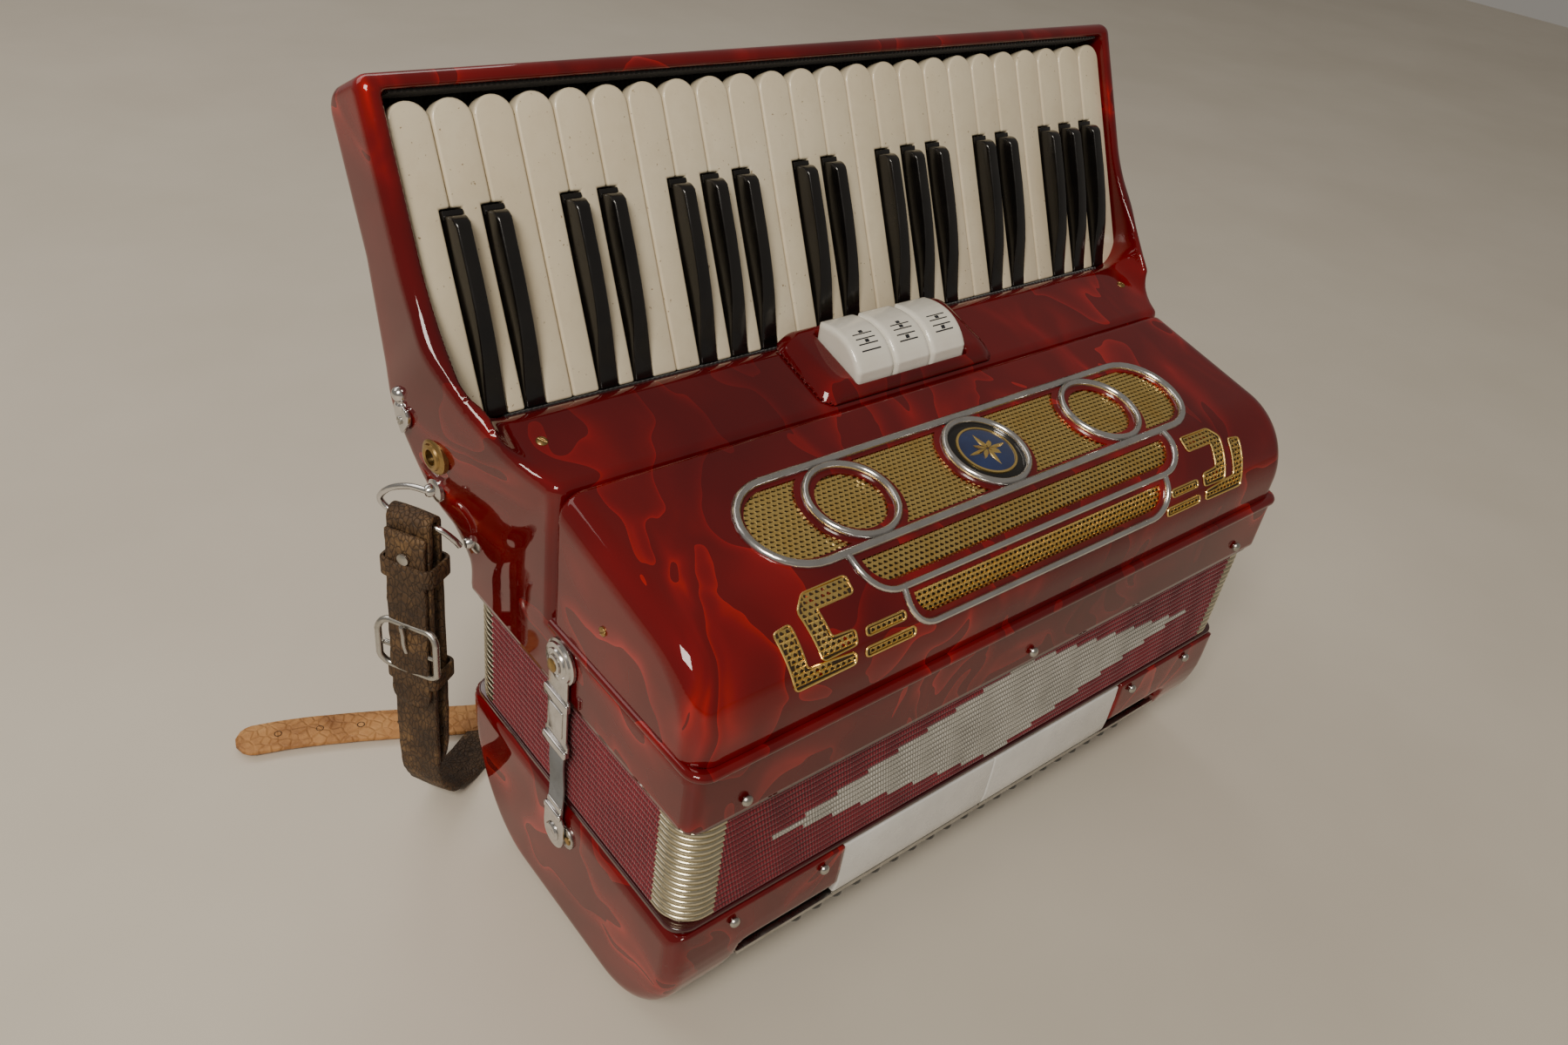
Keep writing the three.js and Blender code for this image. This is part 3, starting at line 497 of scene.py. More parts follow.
def swept_piece(name, path, section, material, body, closed=False, up=None, **options):
    """A section of (side, up) points carried along a path; up(point) gives the path's normal."""
    path = [np.array(p, float) for p in path]
    count = len(path)
    vertices = []
    side = None
    for i, point in enumerate(path):
        before = path[i - 1] if i > 0 or closed else point
        after = path[(i + 1) % count] if i < count - 1 or closed else point
        tangent = (after - before) / np.linalg.norm(after - before)
        if up is not None:
            side = np.cross(tangent, np.array(up(point), float))
        elif side is None:
            side = np.cross(tangent, (0, 0, 1) if abs(tangent[2]) < 0.8 else (1, 0, 0))
        side = side - tangent * np.dot(side, tangent)
        side /= np.linalg.norm(side)
        normal = np.cross(side, tangent)
        vertices += [point + side * a + normal * b for a, b in section]
    faces = ring_faces(count, len(section), closed)
    shade(publish(name, *outward(vertices, faces), material, body, **options), 50)


def turn_to(axis):
    """The rotation that turns +Z to an axis."""
    return Vector((0, 0, 1)).rotation_difference(Vector(axis)).to_matrix()


def lathe(name, profile, centre, axis, material, body, sides, **options):
    """A turned piece: profile is (radius, height) from the axis to the axis, height along axis."""
    vertices, rings = [], []
    for radius, height in profile:
        ring = circle(radius, sides) if radius > 0 else [(0, 0)]
        rings.append(range(len(vertices), len(vertices) + len(ring)))
        vertices += [Vector((x, y, height)) for x, y in ring]
    faces = []
    for low, high in zip(rings, rings[1:]):
        for k in range(sides):
            j = (k + 1) % sides
            if len(low) == 1:
                faces.append((low[0], high[k], high[j]))
            elif len(high) == 1:
                faces.append((low[k], low[j], high[0]))
            else:
                faces.append((low[k], low[j], high[j], high[k]))
    turn = turn_to(axis)
    placed = [tuple(turn @ v + Vector(centre)) for v in vertices]
    shade(publish(name, *outward(placed, faces), material, body, **options))


# ---------------------------------------------------------------- rounded bodies from distance fields
def rounded_max(a, b, radius):
    """Intersection of two distance fields with a rounded edge."""
    outside = np.hypot(np.maximum(a + radius, 0), np.maximum(b + radius, 0))
    return np.minimum(np.maximum(a, b), -radius) + outside


def rounded_min(a, b, radius):
    """Union of two distance fields with a filled corner."""
    return -rounded_max(-a, -b, radius)


def meet(*fields):
    """Sharp-edged intersection of distance fields."""
    return functools.reduce(np.maximum, fields)


def polygon_distance(px, py, corners):
    """Signed distance to a closed polygon, negative inside."""
    shape = np.broadcast(px, py).shape
    nearest = np.full(shape, np.inf)
    inside = np.zeros(shape, bool)
    corners = [tuple(corner) for corner in corners]
    for (ax, ay), (bx, by) in zip(corners, corners[1:] + corners[:1]):
        ex, ey = bx - ax, by - ay
        wx, wy = px - ax, py - ay
        t = np.clip((wx * ex + wy * ey) / (ex * ex + ey * ey), 0, 1)
        nearest = np.minimum(nearest, (wx - ex * t) ** 2 + (wy - ey * t) ** 2)
        if ay != by:
            inside = inside ^ (((ay > py) != (by > py)) & (px < ex * (py - ay) / ey + ax))
    return np.sqrt(nearest) * np.where(inside, -1, 1)


def field_piece(name, field, low, high, step, material, body, **options):
    """The zero surface of field(x, y, z) as a smooth closed mesh of squares about step across."""
    axes = [np.arange(a - 1.5 * step, b + 1.5 * step, step) for a, b in zip(low, high)]
    shape = tuple(len(axis) for axis in axes)
    inside = np.broadcast_to(field(*np.ix_(*axes)) < 0, shape)
    # a cell that the surface passes through gets one point
    corners = sum(
        inside[i:shape[0] - 1 + i, j:shape[1] - 1 + j, k:shape[2] - 1 + k].astype(np.int8)
        for i in (0, 1) for j in (0, 1) for k in (0, 1)
    )
    active = (corners > 0) & (corners < 8)
    number = np.full(active.shape, -1, np.int64)
    number[active] = np.arange(active.sum())
    cells = np.argwhere(active)
    points = np.stack([axes[a][cells[:, a]] + step / 2 for a in range(3)], axis=1)
    # four Newton steps, none longer than 0.7 of a cell, bring the points onto the surface
    probe = step * 0.05
    for _ in range(4):
        here = field(*points.T)
        slope = np.stack([(field(*(points + shift).T) - here) / probe for shift in probe * np.eye(3)], axis=1)
        steepness = np.maximum((slope ** 2).sum(1), 0.2)
        points -= slope * np.clip(here / steepness, -0.7 * step, 0.7 * step)[:, None]
    # each grid edge that crosses the surface gets the square between the four cells around it
    faces = []
    for a in range(3):
        b, c = (a + 1) % 3, (a + 2) % 3
        first = np.take(inside, range(shape[a] - 1), a)
        edges = np.argwhere(first != np.take(inside, range(1, shape[a]), a))
        within = [(edges[:, axis] > 0) & (edges[:, axis] < shape[axis] - 1) for axis in (b, c)]
        edges = edges[within[0] & within[1]]
        leaving = first[tuple(edges.T)]
        around = []
        for db, dc in ((-1, -1), (0, -1), (0, 0), (-1, 0)):
            cell = edges.copy()
            cell[:, b] += db
            cell[:, c] += dc
            around.append(number[tuple(cell.T)])
        quads = np.stack(around, axis=1)
        quads[~leaving] = quads[~leaving][:, ::-1]
        faces.append(quads)
    return publish(name, points, np.concatenate(faces), material, body, **options)


# ---------------------------------------------------------------- treble case
# the case widens toward the key tips: (z + FLARE_SLOPE * y, half length there)
FLARE_SLOPE = 1.146
FLARE = [(270, 220), (291, 220), (305, 224), (318, 228.5), (334, 234.5), (352, 239), (380, 244.5),
         (402, 248), (430, 248)]
# the back of the keyboard leans outward on its way down, from BACK_LEAN_START along the keys
BACK_LEAN = 0.189
BACK_LEAN_START = 75
KEYBOARD_TIP = 147
CHEEK_INSIDE = 232
SWITCHES_Y = 38.2
INNER_HALF_X = 205


def flare_half_x(w):
    """Half length of the case where z + FLARE_SLOPE * y is w, as a smooth curve through FLARE."""
    ws, xs = np.array(FLARE, float).T
    slopes = np.gradient(xs, ws)
    slopes[[0, -1]] = 0
    w = np.clip(w, ws[0], ws[-1])
    i = np.clip(np.searchsorted(ws, w) - 1, 0, len(ws) - 2)
    span = ws[i + 1] - ws[i]
    t = (w - ws[i]) / span
    near = xs[i] * (1 + 2 * t) * (1 - t) ** 2 + slopes[i] * span * t * (1 - t) ** 2
    return near + xs[i + 1] * (3 - 2 * t) * t ** 2 + slopes[i + 1] * span * (t - 1) * t ** 2


def above_ledge(y, z):
    """Distance above the ledge's plane."""
    return (z - ledge_z(y)) / math.hypot(1, LEDGE_SLOPE)


def treble_field(x, y, z):
    along = (y - KEYS_Y) * COS_TILT + (z - KEYS_Z) * SIN_TILT
    normal = (z - KEYS_Z) * COS_TILT - (y - KEYS_Y) * SIN_TILT
    ax = np.abs(x)
    ledge = above_ledge(y, z)
    # 0.96 turns the leaning back's offset into about its true distance
    back = (-KEYBOARD_DEPTH - BACK_LEAN * np.clip(BACK_LEAN_START - along, 0, None) - normal) * 0.96
    behind = np.minimum(y - BODY_HALF_Y, back)
    slab = rounded_max(normal - CHEEK_RISE, along - KEYBOARD_TIP, 7)
    slab = np.maximum(rounded_max(slab, back, 12), -75 - along)
    lower = meet(rounded_max(ledge, LEDGE_FRONT[0] - y, 4), y - BODY_HALF_Y, DECK_TOP - 12 - z)
    body = np.minimum(np.maximum(slab, -4 - along), np.maximum(slab, normal + 20))
    body = np.minimum(body, lower)
    # the cheeks sweep down into the ledge
    sweep = meet(rounded_min(slab, ledge, 52), LEDGE_FRONT[0] - y, behind)
    cheek = meet(sweep, LEDGE_FRONT[0] + 2 - y, CHEEK_INSIDE - ax, 250 - z)
    body = np.maximum(rounded_min(body, cheek, 14), sweep)
    band = np.maximum(z - DECK_TOP, np.abs(y) - BODY_HALF_Y)
    body = rounded_max(np.minimum(body, band), ax - flare_half_x(z + FLARE_SLOPE * y), 7)
    body = np.maximum(body, TREBLE_BOTTOM - z)
    # the key well, the chamber over the bellows and the slot under the switches are cut away
    well = rounded_max(ax - KEY_WELL_HALF_X, -4 - along, 24)
    well = rounded_max(rounded_max(well, along - KEY_WELL_END, 3), KEY_BED - normal, 2)
    body = rounded_max(body, -well, 2.2)
    chamber = meet(ax - INNER_HALF_X, np.abs(y) - 87, z - DECK_TOP + 8)
    body = rounded_max(body, -chamber, 2)
    return np.maximum(body, -meet(ax - 42, np.abs(y - SWITCHES_Y) - 19.6, 250 - z))


field_piece("treble_shell", treble_field, (-KEYBOARD_HALF_X, -BODY_HALF_Y, TREBLE_BOTTOM),
            (KEYBOARD_HALF_X, 174, 420), 1.7, RED, "treble", slot="red_celluloid", replaces=["treble_case"])


# ---------------------------------------------------------------- grille cover
def slope_frame(y, z):
    """Distances of a point above the plane of the cover's sloping top, and behind the end of the slope."""
    y, z = y - SLOPE_END[0], z - SLOPE_END[1]
    return z * GRILLE_COS - y * GRILLE_SIN, y * GRILLE_COS + z * GRILLE_SIN


def cover_profile(y, z):
    """Signed distance to the cover's outline in the (y, z) plane."""
    above, behind = slope_frame(y, z)
    rounding = np.hypot(y - GRILLE_CENTRE[0], z - GRILLE_CENTRE[1]) - GRILLE_RADIUS
    on_rounding = (behind < 0) & (z > GRILLE_CENTRE[1])
    return np.where(on_rounding, rounding, np.maximum(above, GRILLE_FRONT - y))


def cover_point(x, s, lift=0.0):
    """A point lift above the cover's skin: s runs down the skin from where the front rounding starts."""
    if s <= 0:
        y = SLOPE_END[0] - s * GRILLE_COS - lift * GRILLE_SIN
        return np.array((x, y, SLOPE_END[1] - s * GRILLE_SIN + lift * GRILLE_COS))
    if s <= ROUND_LENGTH:
        turn = math.pi / 2 + GRILLE_ANGLE + s / GRILLE_RADIUS
        radius = GRILLE_RADIUS + lift
        y = GRILLE_CENTRE[0] + radius * math.cos(turn)
        return np.array((x, y, GRILLE_CENTRE[1] + radius * math.sin(turn)))
    return np.array((x, GRILLE_FRONT - lift, GRILLE_CENTRE[1] - (s - ROUND_LENGTH)))


def cover_s(y, z):
    """s of any point near the cover's skin, the inverse of cover_point."""
    behind = slope_frame(y, z)[1]
    turn = np.arctan2(z - GRILLE_CENTRE[1], y - GRILLE_CENTRE[0])
    on_rounding = GRILLE_RADIUS * (turn - math.pi / 2 - GRILLE_ANGLE)
    below = ROUND_LENGTH + GRILLE_CENTRE[1] - z
    return np.where(behind >= 0, -behind, np.where(z > GRILLE_CENTRE[1], on_rounding, below))


# the oval frame, and the two strips below it: half length, lower edge along s, corner radius
STADIUM_HALF_X = 157
STADIUM_TOP_S, STADIUM_LOW_S = ((SLOPE_END[0] - y) / GRILLE_COS for y in (-12.8, -66.7))
STADIUM_MIDDLE_S = (STADIUM_TOP_S + STADIUM_LOW_S) / 2
STADIUM_HALF_S = (STADIUM_LOW_S - STADIUM_TOP_S) / 2
STRIPS = ((118, 26, 18), (99, 47, 16))
COVER_WALL = 6
POCKET_DEPTH = 3.2


def cover_field(x, y, z):
    ax = np.abs(x)
    profile = cover_profile(y, z)
    skin = rounded_max(profile, ax - BODY_HALF_X + 0.5, 13)
    skin = rounded_max(skin, y - GRILLE_BACK, 3)
    inner = rounded_max(profile + COVER_WALL, ax - BODY_HALF_X + 0.5 + COVER_WALL, 9)
    skin = rounded_max(skin, -np.maximum(inner, y - GRILLE_BACK + 4), 0.5)
    # shallow pockets for the oval and the strips, just inside their chrome trims
    s = cover_s(y, z)
    oval = rounded_max(ax - STADIUM_HALF_X + 1.5, np.abs(s - STADIUM_MIDDLE_S) - STADIUM_HALF_S + 1.5,
                       STADIUM_HALF_S - 1.6)
    first, second = (rounded_max(ax - half + 1, s - low + 1, corner) for half, low, corner in STRIPS)
    openings = np.minimum(oval, np.maximum(np.minimum(first, second), STADIUM_LOW_S - 3 - s))
    pocket = np.maximum(openings, -POCKET_DEPTH - profile)
    return meet(skin, -pocket, DECK_TOP + 0.3 - z)


field_piece("grille_shell", cover_field, (-BODY_HALF_X, -BODY_HALF_Y, DECK_TOP),
            (BODY_HALF_X, GRILLE_BACK, 274), 1.6, RED, "treble",
            slot="red_celluloid", replaces=["grille_cover"])

# ---------------------------------------------------------------- bass case
BASS_END = [(-BODY_HALF_Y, BASS_TOP), *arc((-45, 70), 56, 180, 270, 14, 70),
            *arc((40, 85), 61, 270, 360, 14, 85), (BODY_HALF_Y, BASS_TOP)]
# the hollow between the feet: its end in (|x|, z) and its section in (y, z) over the button board
FLANK = [(-300, -20), (215, -20), (203, -5), (190, 20), (181, 36), (176, 48), (176, 65), (-300, 65)]
BOARD_FRONT = (-96, 46)
BOARD_BACK = (-24, 13)
RECESS = [(-130, -20), (BOARD_BACK[0], -20), BOARD_BACK, (-20, 21), (-90, 58), (-130, 58)]
AIR_BUTTON = (150, -15.2, 0)
BAR_MIDDLE = 1.5


def bass_field(x, y, z):
    ax = np.abs(x)
    body = rounded_max(polygon_distance(y, z, BASS_END), ax - BODY_HALF_X, 9)
    body = np.maximum(body, z - BASS_TOP)
    hand = np.maximum(-8 - y, z - 36)
    rib = meet(-40 - y, y, z - 10)
    section = np.minimum(np.minimum(polygon_distance(y, z, RECESS), hand), rib)
    body = rounded_max(body, -rounded_max(polygon_distance(ax, z, FLANK), section, 5), 3)
    bar_pocket = meet(np.abs(x - BAR_MIDDLE) - 115, y + 90.5, 47 - z)
    inner = meet(ax - INNER_HALF_X, np.abs(y - 3) - 84, 66 - z)
    body = rounded_max(body, -np.minimum(bar_pocket, inner), 0.8)
    air_hole = np.hypot(x - AIR_BUTTON[0], y - AIR_BUTTON[1]) - 4.6
    return np.maximum(body, -np.maximum(air_hole, z - 30))


field_piece("bass_shell", bass_field, (-BODY_HALF_X, -BODY_HALF_Y, 0), (BODY_HALF_X, BODY_HALF_Y, BASS_TOP),
            2.0, RED, "bass", slot="red_celluloid", replaces=["bass_case"])


# ---------------------------------------------------------------- register housing and switches
HOUSING_MIDDLE_Y = 40.5
SWITCH_PITCH = 27
SWITCH_HALF = 13.1


def housing_field(x, y, z):
    level = above_ledge(y, z)
    climb = np.maximum(level, 0)
    sides = rounded_max(np.abs(x) - 64 + climb * 0.75, np.abs(y - HOUSING_MIDDLE_Y) - 25 + climb * 0.3, 9)
    hole = rounded_max(np.abs(x) - 41.4, np.abs(y - SWITCHES_Y) - 18.8, 2)
    return np.maximum(rounded_max(rounded_max(level - 8, sides, 5), -hole, 1.6), 0.3 - level)


field_piece("register_plate", housing_field, (-66, 14, 268), (66, 68, 300), 1.0, RED, "treble",
            slot="red_celluloid", replaces=["register_housing"])


def switch_top():
    """Side outline of a rocker switch's top, (y, z) from its back: domed, then falling steeply to the front."""
    points = []
    for step in range(13):
        t = step / 12
        a, b, c = (1 - t) ** 2, 2 * t * (1 - t), t * t
        points.append((56 * a + 31 * b + 20.4 * c, 298 * a + 304 * b + 285 * c))
    return points


def switch_marks(index, middle, body):
    """Four printed lines and the dots of a register, generic ones, on the front of the switch's top."""
    parts = []
    ys, zs = np.array(switch_top()[::-1]).T

    def stroke(half, y, width):
        ends = [(middle - half, y - width / 2), (middle + half, y - width / 2),
                (middle + half, y + width / 2), (middle - half, y + width / 2)]
        top = [(x, y, np.interp(y, ys, zs) + 0.22) for x, y in ends]
        low = [(x, y, z - 0.4) for x, y, z in top]
        parts.append(outward(low + top, ring_faces(2, 4)))

    rows = (27.0, 30.0, 33.0, 36.0)
    for y in rows:
        stroke(6.6, y, 0.5)
    for row in ((1, 3), (0, 2, 3), (0, 2))[index]:
        stroke(1.3, rows[row] + 1.5, 1.6)
    joined(f"switch_marks_{index + 1}", parts, INK, body)


def register_switch(index):
    middle = (index - 1) * SWITCH_PITCH
    outline = [(20.4, 273), (56, 276)] + switch_top()

    def field(x, y, z):
        return rounded_max(polygon_distance(y, z, outline), np.abs(x - middle) - SWITCH_HALF, 2.6)

    body = f"register_switch_{index + 1}"
    field_piece(f"switch_{index + 1}", field, (middle - SWITCH_HALF, 20, 272), (middle + SWITCH_HALF, 56, 301),
                1.0, WHITE, body, slot="white_plastic", replaces=[body])
    switch_marks(index, middle, body)


for number in range(3):
    register_switch(number)

# ---------------------------------------------------------------- keys
LETTERS = "AGFEDCB"
SHARP_AFTER = {"A": "Gs", "G": "Fs", "E": "Ds", "D": "Cs", "B": "As"}
BLACK_TIP = BLACK_LENGTH - 0.5
BLACK_TAPER = 1.7
# side outline of a black key, (along, normal): flat ends, a rounded tip, a hump that falls away to the ledge
BLACK_SIDE = [(-3, -KEY_THICKNESS), (BLACK_TIP, -KEY_THICKNESS), (BLACK_TIP, 1.5),
              *arc((BLACK_TIP - 6.5, 3.0), 6.0, 12, 84, 7, 6.5),
              (58, 9.6), (44, 9.1), (34, 8.2), (24, 6.6), (12, 3.4), (3, 1.2), (-3, 0.4)]


def has_sharp(index):
    return 0 <= index < WHITE_COUNT - 1 and LETTERS[index % 7] in SHARP_AFTER


def white_key(index, middle, name):
    half = WHITE_WIDTH / 2
    notch = WHITE_PITCH / 2 - BLACK_WIDTH / 2 - 0.4
    notch_end = BLACK_LENGTH + 2.4
    left = -notch if has_sharp(index - 1) else -half
    right = notch if has_sharp(index) else half
    outline = [(left, -3), (right, -3)]
    if right < half:
        outline += [(right, notch_end), (half, notch_end)]
    outline += arc((0, WHITE_LENGTH - 9), half, 0, 180, 14, 9)
    if left > -half:
        outline += [(-half, notch_end), (left, notch_end)]
    prism_piece(f"white_{name}", outline, -KEY_THICKNESS, 0, lambda a, b, c: from_keyboard(middle + a, b, c),
                CREAM, name, 1.35, 4, 40, slot="key_cream", replaces=[name])


def black_key(middle, name):
    half = BLACK_WIDTH / 2

    def place(along, normal, x):
        taper = BLACK_TAPER * min(max((normal - 0.4) / 8.5, 0), 1)
        return from_keyboard(middle + x - math.copysign(taper, x), along, normal)

    prism_piece(f"black_{name}", BLACK_SIDE, -half, half, place, BLACK, name, 1.1, 3, 38,
                slot="key_black", replaces=[name])
    foot = box_outline(-half + 0.2, half - 0.2, BLACK_TIP - 2, BLACK_LENGTH + 1.6)
    prism_piece(f"black_foot_{name}", foot, -KEY_THICKNESS, 0.5,
                lambda a, b, c: from_keyboard(middle + a, b, c), BLACK, name, 0.35, 2, slot="key_black")


for number in range(WHITE_COUNT):
    letter, octave = LETTERS[number % 7], 6 - (number + 1) // 7
    white_x = (number + 0.5 - WHITE_COUNT / 2) * WHITE_PITCH
    white_key(number, white_x, f"key_{letter}{octave}")
    if has_sharp(number):
        black_key(white_x + WHITE_PITCH / 2, f"key_{SHARP_AFTER[letter]}{octave}")

# felt on the key bed, at the key tips and along the ledge: half length, along, normal, rounding, slot
BED_TOP = KEY_BED + 0.5
for name, half, along, normal, rounding, slot in (
        ("key_bed_felt", KEY_WELL_HALF_X - 1, (-3, KEY_WELL_END - 0.6), (KEY_BED - 0.6, BED_TOP), 0.5,
         "key_black"),
        ("tip_felt", KEY_WELL_HALF_X - 4, (KEY_WELL_END - 1.4, KEY_WELL_END + 0.3), (BED_TOP, 1.5), 0.4, None),
        ("ledge_felt", 214, (-5.4, -3.3), (-6, 1.2), 0.5, None)):
    prism_piece(name, box_outline(-half, half, *along), *normal, from_keyboard, FELT, "treble", rounding, 2,
                slot=slot)


# ---------------------------------------------------------------- bellows
BELLOWS_LOW = 93.6
BELLOWS_HIGH = 160.6
BELLOWS_HALF_X = BODY_HALF_X - 2
BELLOWS_HALF_Y = BODY_HALF_Y - 2
BELLOWS_RADIUS = 17
BELLOWS_DEPTH = 20
FOLDS = 17
FOLD_PITCH = (BELLOWS_HIGH - BELLOWS_LOW) / FOLDS
# (share of the fold's height, depth under the ridge); a fold starts in the cut below it
FOLD_SHAPE = ((0.0, 3.4), (0.12, 1.1), (0.26, 0.3), (0.5, 0.0), (0.74, 0.3), (0.88, 1.1))
LOZENGE_HALF_X = 166
# how far the metal corners reach past the rounding
CORNER_REACH = 4.5
# coverings of the bellows; the last is painted shade, a dark gloss in the deep gaps between the folds
CLOTH, CORNER, LOZENGE, GAP_SHADE = range(4)


def lozenge_half(fold):
    """Half length of the silver lozenge on a fold, in steps that shrink away from the middle fold."""
    away = abs(fold - (FOLDS - 1) / 2) / (FOLDS / 2)
    return LOZENGE_HALF_X * (1 - away)


def bellows_ring():
    """(x, y, normal x, normal y) round the bellows, with points where the coverings change."""
    points = []
    for sign_x, sign_y, start in CORNERS:
        for nx, ny in arc((0, 0), 1, start, start + 90, 12):
            points.append((sign_x * (BELLOWS_HALF_X - BELLOWS_RADIUS) + BELLOWS_RADIUS * nx,
                           sign_y * (BELLOWS_HALF_Y - BELLOWS_RADIUS) + BELLOWS_RADIUS * ny, nx, ny))
    widths = sorted({round(lozenge_half(fold), 3) for fold in range(FOLDS) if lozenge_half(fold) > 1})
    ring = []
    for (x, y, nx, ny), (next_x, next_y, *_) in zip(points, points[1:] + points[:1]):
        span = math.hypot(next_x - x, next_y - y)
        cuts = {0.0}
        if span > 2 * BELLOWS_RADIUS:
            cuts |= {CORNER_REACH / span, 1 - CORNER_REACH / span}
            if abs(next_x - x) > abs(next_y - y):
                middle = BELLOWS_HALF_X - BELLOWS_RADIUS
                cuts |= {(middle + side * width) / span for width in widths for side in (-1, 1)}
            else:
                cuts |= {k / 8 for k in range(1, 8)}
        ring += [(x + (next_x - x) * t, y + (next_y - y) * t, nx, ny) for t in sorted(cuts)]
    return ring


def bellows():
    ring = bellows_ring()
    rows = [(depth, BELLOWS_LOW + (fold + share) * FOLD_PITCH, fold) for fold in range(FOLDS)
            for share, depth in FOLD_SHAPE]
    rows.append((FOLD_SHAPE[0][1], BELLOWS_HIGH, FOLDS - 1))
    outer = len(rows) - 1
    rows += [(BELLOWS_DEPTH, BELLOWS_HIGH, 0), (BELLOWS_DEPTH, BELLOWS_LOW, 0)]
    vertices = [(x - nx * depth, y - ny * depth, z) for depth, z, _ in rows for x, y, nx, ny in ring]
    edge_x = BELLOWS_HALF_X - BELLOWS_RADIUS - CORNER_REACH - 0.1
    edge_y = BELLOWS_HALF_Y - BELLOWS_RADIUS - CORNER_REACH - 0.1
    coverings = []
    for row, (depth, _, fold) in enumerate(rows):
        for here, following in zip(ring, ring[1:] + ring[:1]):
            x, y = abs(here[0] + following[0]) / 2, abs(here[1] + following[1]) / 2
            covering = CLOTH
            if row < outer:
                if x > edge_x and y > edge_y:
                    covering = CORNER
                # the deep gaps between folds are painted dark: painted shade for the depth the shallow folds
                # leave out
                elif max(depth, rows[row + 1][0]) > 2:
                    covering = GAP_SHADE
                elif y > BELLOWS_HALF_Y - 2 and x < lozenge_half(fold):
                    covering = LOZENGE
            coverings.append(covering)
    piece = publish("bellows_folds", vertices, ring_faces(len(rows), len(ring), closed=True),
                    [WINE_CLOTH, CORNER_METAL, SILVER_CLOTH, DARK_RED], None,
                    slot="wine_cloth", replaces=["bellows"], indices=coverings)
    shade(piece, 60)
    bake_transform(piece)


def bellows_frame(body, low, high):
    outer = rounded_box(BODY_HALF_X - 1.2, BODY_HALF_Y - 1.2, 11)
    inner = rounded_box(BODY_HALF_X - 24, BODY_HALF_Y - 24, 6)
    rows = [(outer, low), (outer, high), (inner, high), (inner, low)]
    vertices = [(x, y, z) for ring, z in rows for x, y in ring]
    piece = publish(f"bellows_frame_{body}", *outward(vertices, ring_faces(4, len(outer), closed=True)),
                    DARK_RED, body, slot="red_celluloid")
    bevel(piece, 0.9, 3, angle=50)


bellows()
bellows_frame("bass", BASS_TOP + 0.3, BELLOWS_LOW)
bellows_frame("treble", BELLOWS_HIGH, TREBLE_BOTTOM - 0.3)

# ---------------------------------------------------------------- bead under the cover, and pins
BEAD = [(0.0, 2.6), (1.6, 2.1), (2.6, 0.8), (2.6, -0.9), (1.4, -2.2), (0.0, -2.6), (-3.0, -2.2), (-3.0, 2.2)]
BEAD_BACK_Y = 15.5
# the side of the body, the height and the places along x of each row of pins
PINS = {"treble_pin_front": (-1, 172, (-190, 0, 190)), "treble_pin_back": (1, 172, (-190, 0, 190)),
        "bass_pin_front": (-1, 83, (-185, -128, 128, 185)), "bass_pin_back": (1, 83, (-185, 0, 185))}
PIN_RADIUS = 2.9
PIN_DOME = [(PIN_RADIUS * math.cos(a), 1.3 + 2.2 * math.sin(a)) for a in map(math.radians, (20, 40, 60, 78))]
PIN = [(0, -2.5), (1.3, -2.5), (1.3, 0.6), (PIN_RADIUS * 0.86, 0.7), (PIN_RADIUS, 1.3), *PIN_DOME, (0, 3.55)]


def filled(path, step, closed=True):
    """The same line with points no further apart than step."""
    path = [np.array(p, float) for p in path]
    result = []
    for a, b in zip(path, path[1:] + path[:1] if closed else path[1:]):
        count = max(1, int(np.linalg.norm(b - a) / step))
        result += [tuple(a + (b - a) * k / count) for k in range(count)]
    return result if closed else result + [tuple(path[-1])]


def cover_bead():
    """The bead runs round the front of the cover's foot and stops at its back edge."""
    half_x, z = BODY_HALF_X - 1.4, DECK_TOP - 1.6
    corner = [p for p in rounded_box(half_x, BODY_HALF_Y + 0.2, 8, 6) if p[1] < 0 and p[0] > 0]
    right = sorted(corner, key=lambda p: p[1] - 0.001 * p[0]) + [(half_x, BEAD_BACK_Y)]
    left = [(-x, y) for x, y in reversed(right)]
    path = filled([(x, y, z) for x, y in left + right], 12, closed=False)
    swept_piece("cover_bead", path, BEAD, RED, "treble", up=lambda p: (0, 0, 1), slot="red_celluloid")


cover_bead()
for name, (sign, z, places) in PINS.items():
    for number, x in enumerate(places):
        lathe(f"{name}_{number + 1}", PIN, (x, sign * BODY_HALF_Y, z), (0, sign, 0), GREY_METAL,
              name.split("_")[0], 20, slot="steel")


# ---------------------------------------------------------------- grille: plates, gold mesh and chrome trims
RING_XS = (-93, 0, 93)
RING_RADIUS = 23
RING_MESH_RADIUS = 18.2
# the windows keep clear of the rings and of the oval's trim
CLEAR_RADIUS = 28.2
WINDOW_INSET = 5.2
MESH_PITCH_X = 3.3
MESH_PITCH_S = 2.6
# one cell of the mesh, in half pitches: its frame and the hole in it, whose lower lip is raised
CELL_FRAME = ((-1.0, -1.0), (0.0, -1.0), (1.0, -1.0), (1.0, 1.0), (0.0, 1.0), (-1.0, 1.0))
CELL_HOLE = ((-0.50, -0.22), (0.0, -0.74), (0.50, -0.22), (0.68, 0.52), (0.0, 0.60), (-0.68, 0.52))
LIP_RISE, LIP_SINK = 0.42, -0.25


def cover_normal(point):
    """The direction out of the cover's skin near a point."""
    step = 0.05
    _, y, z = point
    here = cover_profile(y, z)
    slope = np.array([0.0, cover_profile(y + step, z) - here, cover_profile(y, z + step) - here])
    return slope / np.linalg.norm(slope)


